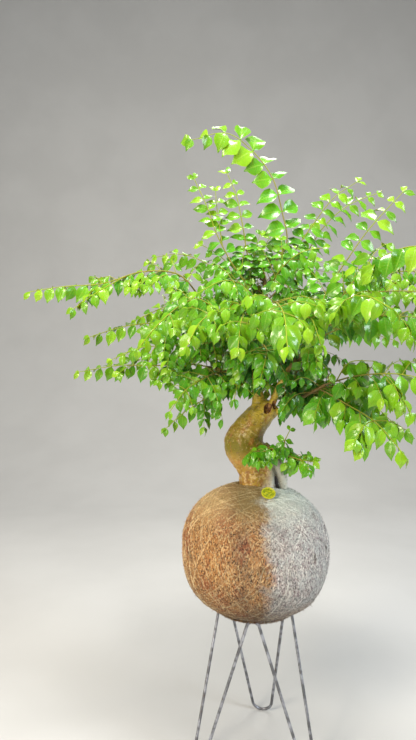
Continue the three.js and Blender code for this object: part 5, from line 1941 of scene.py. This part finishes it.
# %% Growing rules
class Shoot:
    """Collects the stems and the leaves of one shoot."""

    def __init__(self, name, index):
        self.name = name
        self.draw = random_from(SEED + index)
        self.extra = np.random.default_rng(SEED + index)
        self.stem_points, self.stem_edges, self.stem_half, self.stem_age = [], [], [], []
        self.leaves = []
        broad = name in SPACINGS
        self.kinds = (BLADE_KINDS, BLADE_KINDS + BROAD_KINDS) if broad else (0, BLADE_KINDS)
        self.longer = 1.0 if broad else LONGER

    def add_stem(self, path, kind):
        """A stem; its kind gives the half widths and ages at its two ends, and its step."""
        halves, ages, step = STEMS[kind]
        count = max(3, math.ceil(path.length / step))
        start = len(self.stem_points)
        for share in np.arange(count + 1) / count:
            self.stem_points.append(path.at(share))
            self.stem_half.append(between(*halves, share))
            self.stem_age.append(between(*ages, share))
        self.stem_edges += [(start + i, start + i + 1) for i in range(count)]

    def add_leaf(self, root, turn, size, age):
        """A leaf, the darker the nearer it is to the heart of the crown, as painted shade."""
        away = np.linalg.norm(root - CROWN_HEART)
        near = float(np.interp(away, HEART_REACH, (1.0, 0.0)))
        tone, kind = self.extra.random(), int(self.extra.integers(*self.kinds))
        age = min(1.0, AGE_SHARE * age + HEART_SHADE_SHARE * near)
        self.leaves.append((root, turn, self.longer * size, age, tone, kind))

    def add_pairs(self, path, leaf, droop, draw, spacing=PAIR_SPACING, age_from=0.0):
        """Opposite pairs of leaves from the tip of a stem to its bare foot."""
        bare = min(BARE_LENGTH, path.length / 4)
        pair = 0
        while TIP_LENGTH + pair * spacing < path.length - bare:
            share = 1 - (TIP_LENGTH + pair * spacing) / path.length
            root, along = path.at(share), path.along(share)
            grown_up = leaf * between(YOUNGEST, 1, min(1, pair / GROWN_PAIR))
            for side in (1, -1):
                size, hang, roll, spread = (between(*limits, draw()) for limits in LEAF_LIMITS.values())
                size *= grown_up
                spread += SPREADS["pair" if pair else "tip"]
                turn = leaf_turn(along, side, droop + hang, roll, spread)
                tip = root + np.array(turn.to_matrix() @ Vector((size, 0, 0)))
                if draw == self.draw or not closes_view(tip):
                    self.add_leaf(root, turn, size, min(1.0, age_from + pair / PAIRS_TO_OLD))
            pair += 1

    def add_twigs(self, path, leaf, droop):
        """Short side twigs on the older part of a stem."""
        place = min(BARE_LENGTH, path.length / 4) * 0.5
        last = path.length * (TWIG["up_to"] - TWIG["upright_bare"] * max(0.0, path.along(0.5)[2]))
        while place < last:
            share = place / path.length
            root, along = path.at(share), path.along(share)
            for side in (1, -1):
                if self.extra.random() > TWIG["chance"]:
                    continue
                across = across_from(along, droop) * side
                forward, rise, length = (self.extra.uniform(*limits) for limits in TWIG_LIMITS.values())
                way = unit(along * forward + across + UP * rise)
                length *= (1 - TWIG["tip_shorter"] * share) * min(1, path.length / TWIG["full_from"])
                tip = root + way * length - UP * length * droop * TWIG["sag"]
                if closes_view(tip):
                    continue
                twig = Path([root, root + way * length * 0.5 + UP * length * TWIG["arch"], tip])
                self.add_stem(twig, "twig")
                self.add_pairs(twig, leaf * TWIG["leaf"], droop, self.extra.random, TWIG["spacing"],
                               TWIG["age"])
            place += TWIG["step"]

    def add_spurs(self, limb, place, step, number, length, leaf, droop, spacing):
        """Short leafy spurs on a limb, from a place along it; they arch out all round and then hang."""
        while place < limb.length - step / 2:
            root = limb.at(place / limb.length)
            for _ in range(number):
                angle = self.extra.uniform(0, 2 * math.pi)
                limits = (SPUR_WAY["rise"], length, leaf)
                rise, reach, size = (self.extra.uniform(*pair) for pair in limits)
                way = unit(np.array([math.cos(angle), math.sin(angle), rise]))
                tip = root + way * reach - UP * reach * SPUR_WAY["sag"]
                if closes_view(tip):
                    continue
                spur = Path([root, root + way * reach * SPUR_WAY["middle"], tip])
                self.add_stem(spur, "spur")
                self.add_pairs(spur, size, droop, self.extra.random, spacing, SPUR_WAY["age"])
            place += step

    def mesh(self):
        """The skeleton: lines for the stems, then loose points for the leaves."""
        roots, turns, sizes, ages, tones, kinds = zip(*self.leaves)
        stems, leaves = len(self.stem_points), len(roots)
        mesh = mesh_from(self.name, [*self.stem_points, *roots], edges=self.stem_edges)
        add_values(mesh, "is_leaf", "BOOLEAN", [False] * stems + [True] * leaves)
        add_values(mesh, "half", "FLOAT", np.array(self.stem_half + [0.0] * leaves) * MM)
        add_values(mesh, "turn", "FLOAT_VECTOR", [(0, 0, 0)] * stems + [tuple(turn) for turn in turns])
        add_values(mesh, "size", "FLOAT", np.array([0.0] * stems + [*sizes]) * MM)
        add_values(mesh, "age", "FLOAT", [*self.stem_age, *ages])
        add_values(mesh, "tone", "FLOAT", [0.0] * stems + [*tones])
        add_values(mesh, "kind", "INT", [0] * stems + [*kinds])
        return mesh


print(len(STEMS), "kinds of stems")

# %% [markdown]
# ## From a skeleton to a leafy shoot
#
# One node tree dresses every skeleton. Its lines become curves with a radius, and a round profile
# sweeps along them. Each loose point gets one of the blades, turned and sized by its attributes.

# %% Node tree of the leafy shoot
def make_shoot_tree():
    tree, given, result = new_growth(
        "leafy shoot", ("Blades", "Collection", None), ("Stem Sides", "Int", 6), ("Leaf", "Material", None),
        ("Stem", "Material", None))
    parts = node(tree, "GeometryNodeSeparateGeometry",
                 {"Geometry": given["Geometry"], "Selection": named(tree, "is_leaf", "BOOLEAN")}).outputs
    line = curve_along(tree, parts["Inverted"])
    stems = swept(tree, line, given["Stem Sides"], 1.0, Scale=named(tree, "half"))
    angles = named(tree, "turn", "FLOAT_VECTOR")
    turn = node(tree, "FunctionNodeEulerToRotation", {"Euler": angles}).outputs[0]
    leaves = geo(tree, "InstanceOnPoints",
                 {"Points": parts["Selection"], "Instance": patterns_of(tree, given["Blades"]),
                  "Pick Instance": True, "Instance Index": named(tree, "kind", "INT"), "Rotation": turn,
                  "Scale": named(tree, "size")})
    stem_skin = painted(tree, stems, given["Stem"])
    leaf_skin = painted(tree, real(tree, leaves), given["Leaf"])
    return end_tree(tree, shaded_smooth(tree, together(tree, stem_skin, leaf_skin)), result)


SHOOT_TREE = make_shoot_tree()

# %% [markdown]
# Now the crown grows, first the leafy spurs of the limbs, as one piece, then shoot by shoot. Each
# fine shoot stands for its plain one in the frame.

# %% Grow the crown
def limb_path(name):
    return Path(LIMBS[name][0])


def dressed(shoot, name, *replaced):
    """Turns a skeleton into a finished piece, and gives the number of its leaves."""
    skeleton = object_from(name + "_skeleton", shoot.mesh())
    piece = grown(skeleton, SHOOT_TREE, name, {"Blades": BLADES, "Leaf": LEAF, "Stem": STEM})
    settle(piece, "leaf", *replaced)
    return len(shoot.leaves)


def grow_spurs():
    """The leafy spurs of all the limbs but the low one, as one piece."""
    spurs = Shoot("limb_spurs", SPUR_SEED)
    for name in LIMBS:
        if name != "low":
            sizes = {**SPUR, "number": SPURS_AT_PLACE.get(name, SPUR["number"])}
            spurs.add_spurs(limb_path(name), SPUR_FROM.get(name, SPUR["step"]), **sizes)
    return dressed(spurs, "limb_spurs")


def grow_shoot(name, index):
    limb, place, leaf, droop, passed = SHOOTS[name]
    shoot = Shoot(name, index)
    main = Path([limb_path(limb).by_span(place), *passed])
    shoot.add_stem(main, "shoot")
    shoot.add_pairs(main, leaf, droop, shoot.draw, SPACINGS.get(name, PAIR_SPACING))
    for at, points in TWIGS.get(name, []):
        side = Path([main.at(at), *points])
        shoot.add_stem(side, "side")
        shoot.add_pairs(side, leaf, droop, shoot.draw)
    if name not in CLEAN_SHOOTS:
        shoot.add_twigs(main, leaf, droop)
    if name in TUFTED:
        shoot.add_spurs(main, TUFTED[name], **TUFT)
    return dressed(shoot, name + "_leaves", "shoot_" + name)


leaf_count = grow_spurs() + sum(grow_shoot(name, index) for index, name in enumerate(SHOOTS))
clear_away(BLADES)
print("the crown has", leaf_count, "leaves")
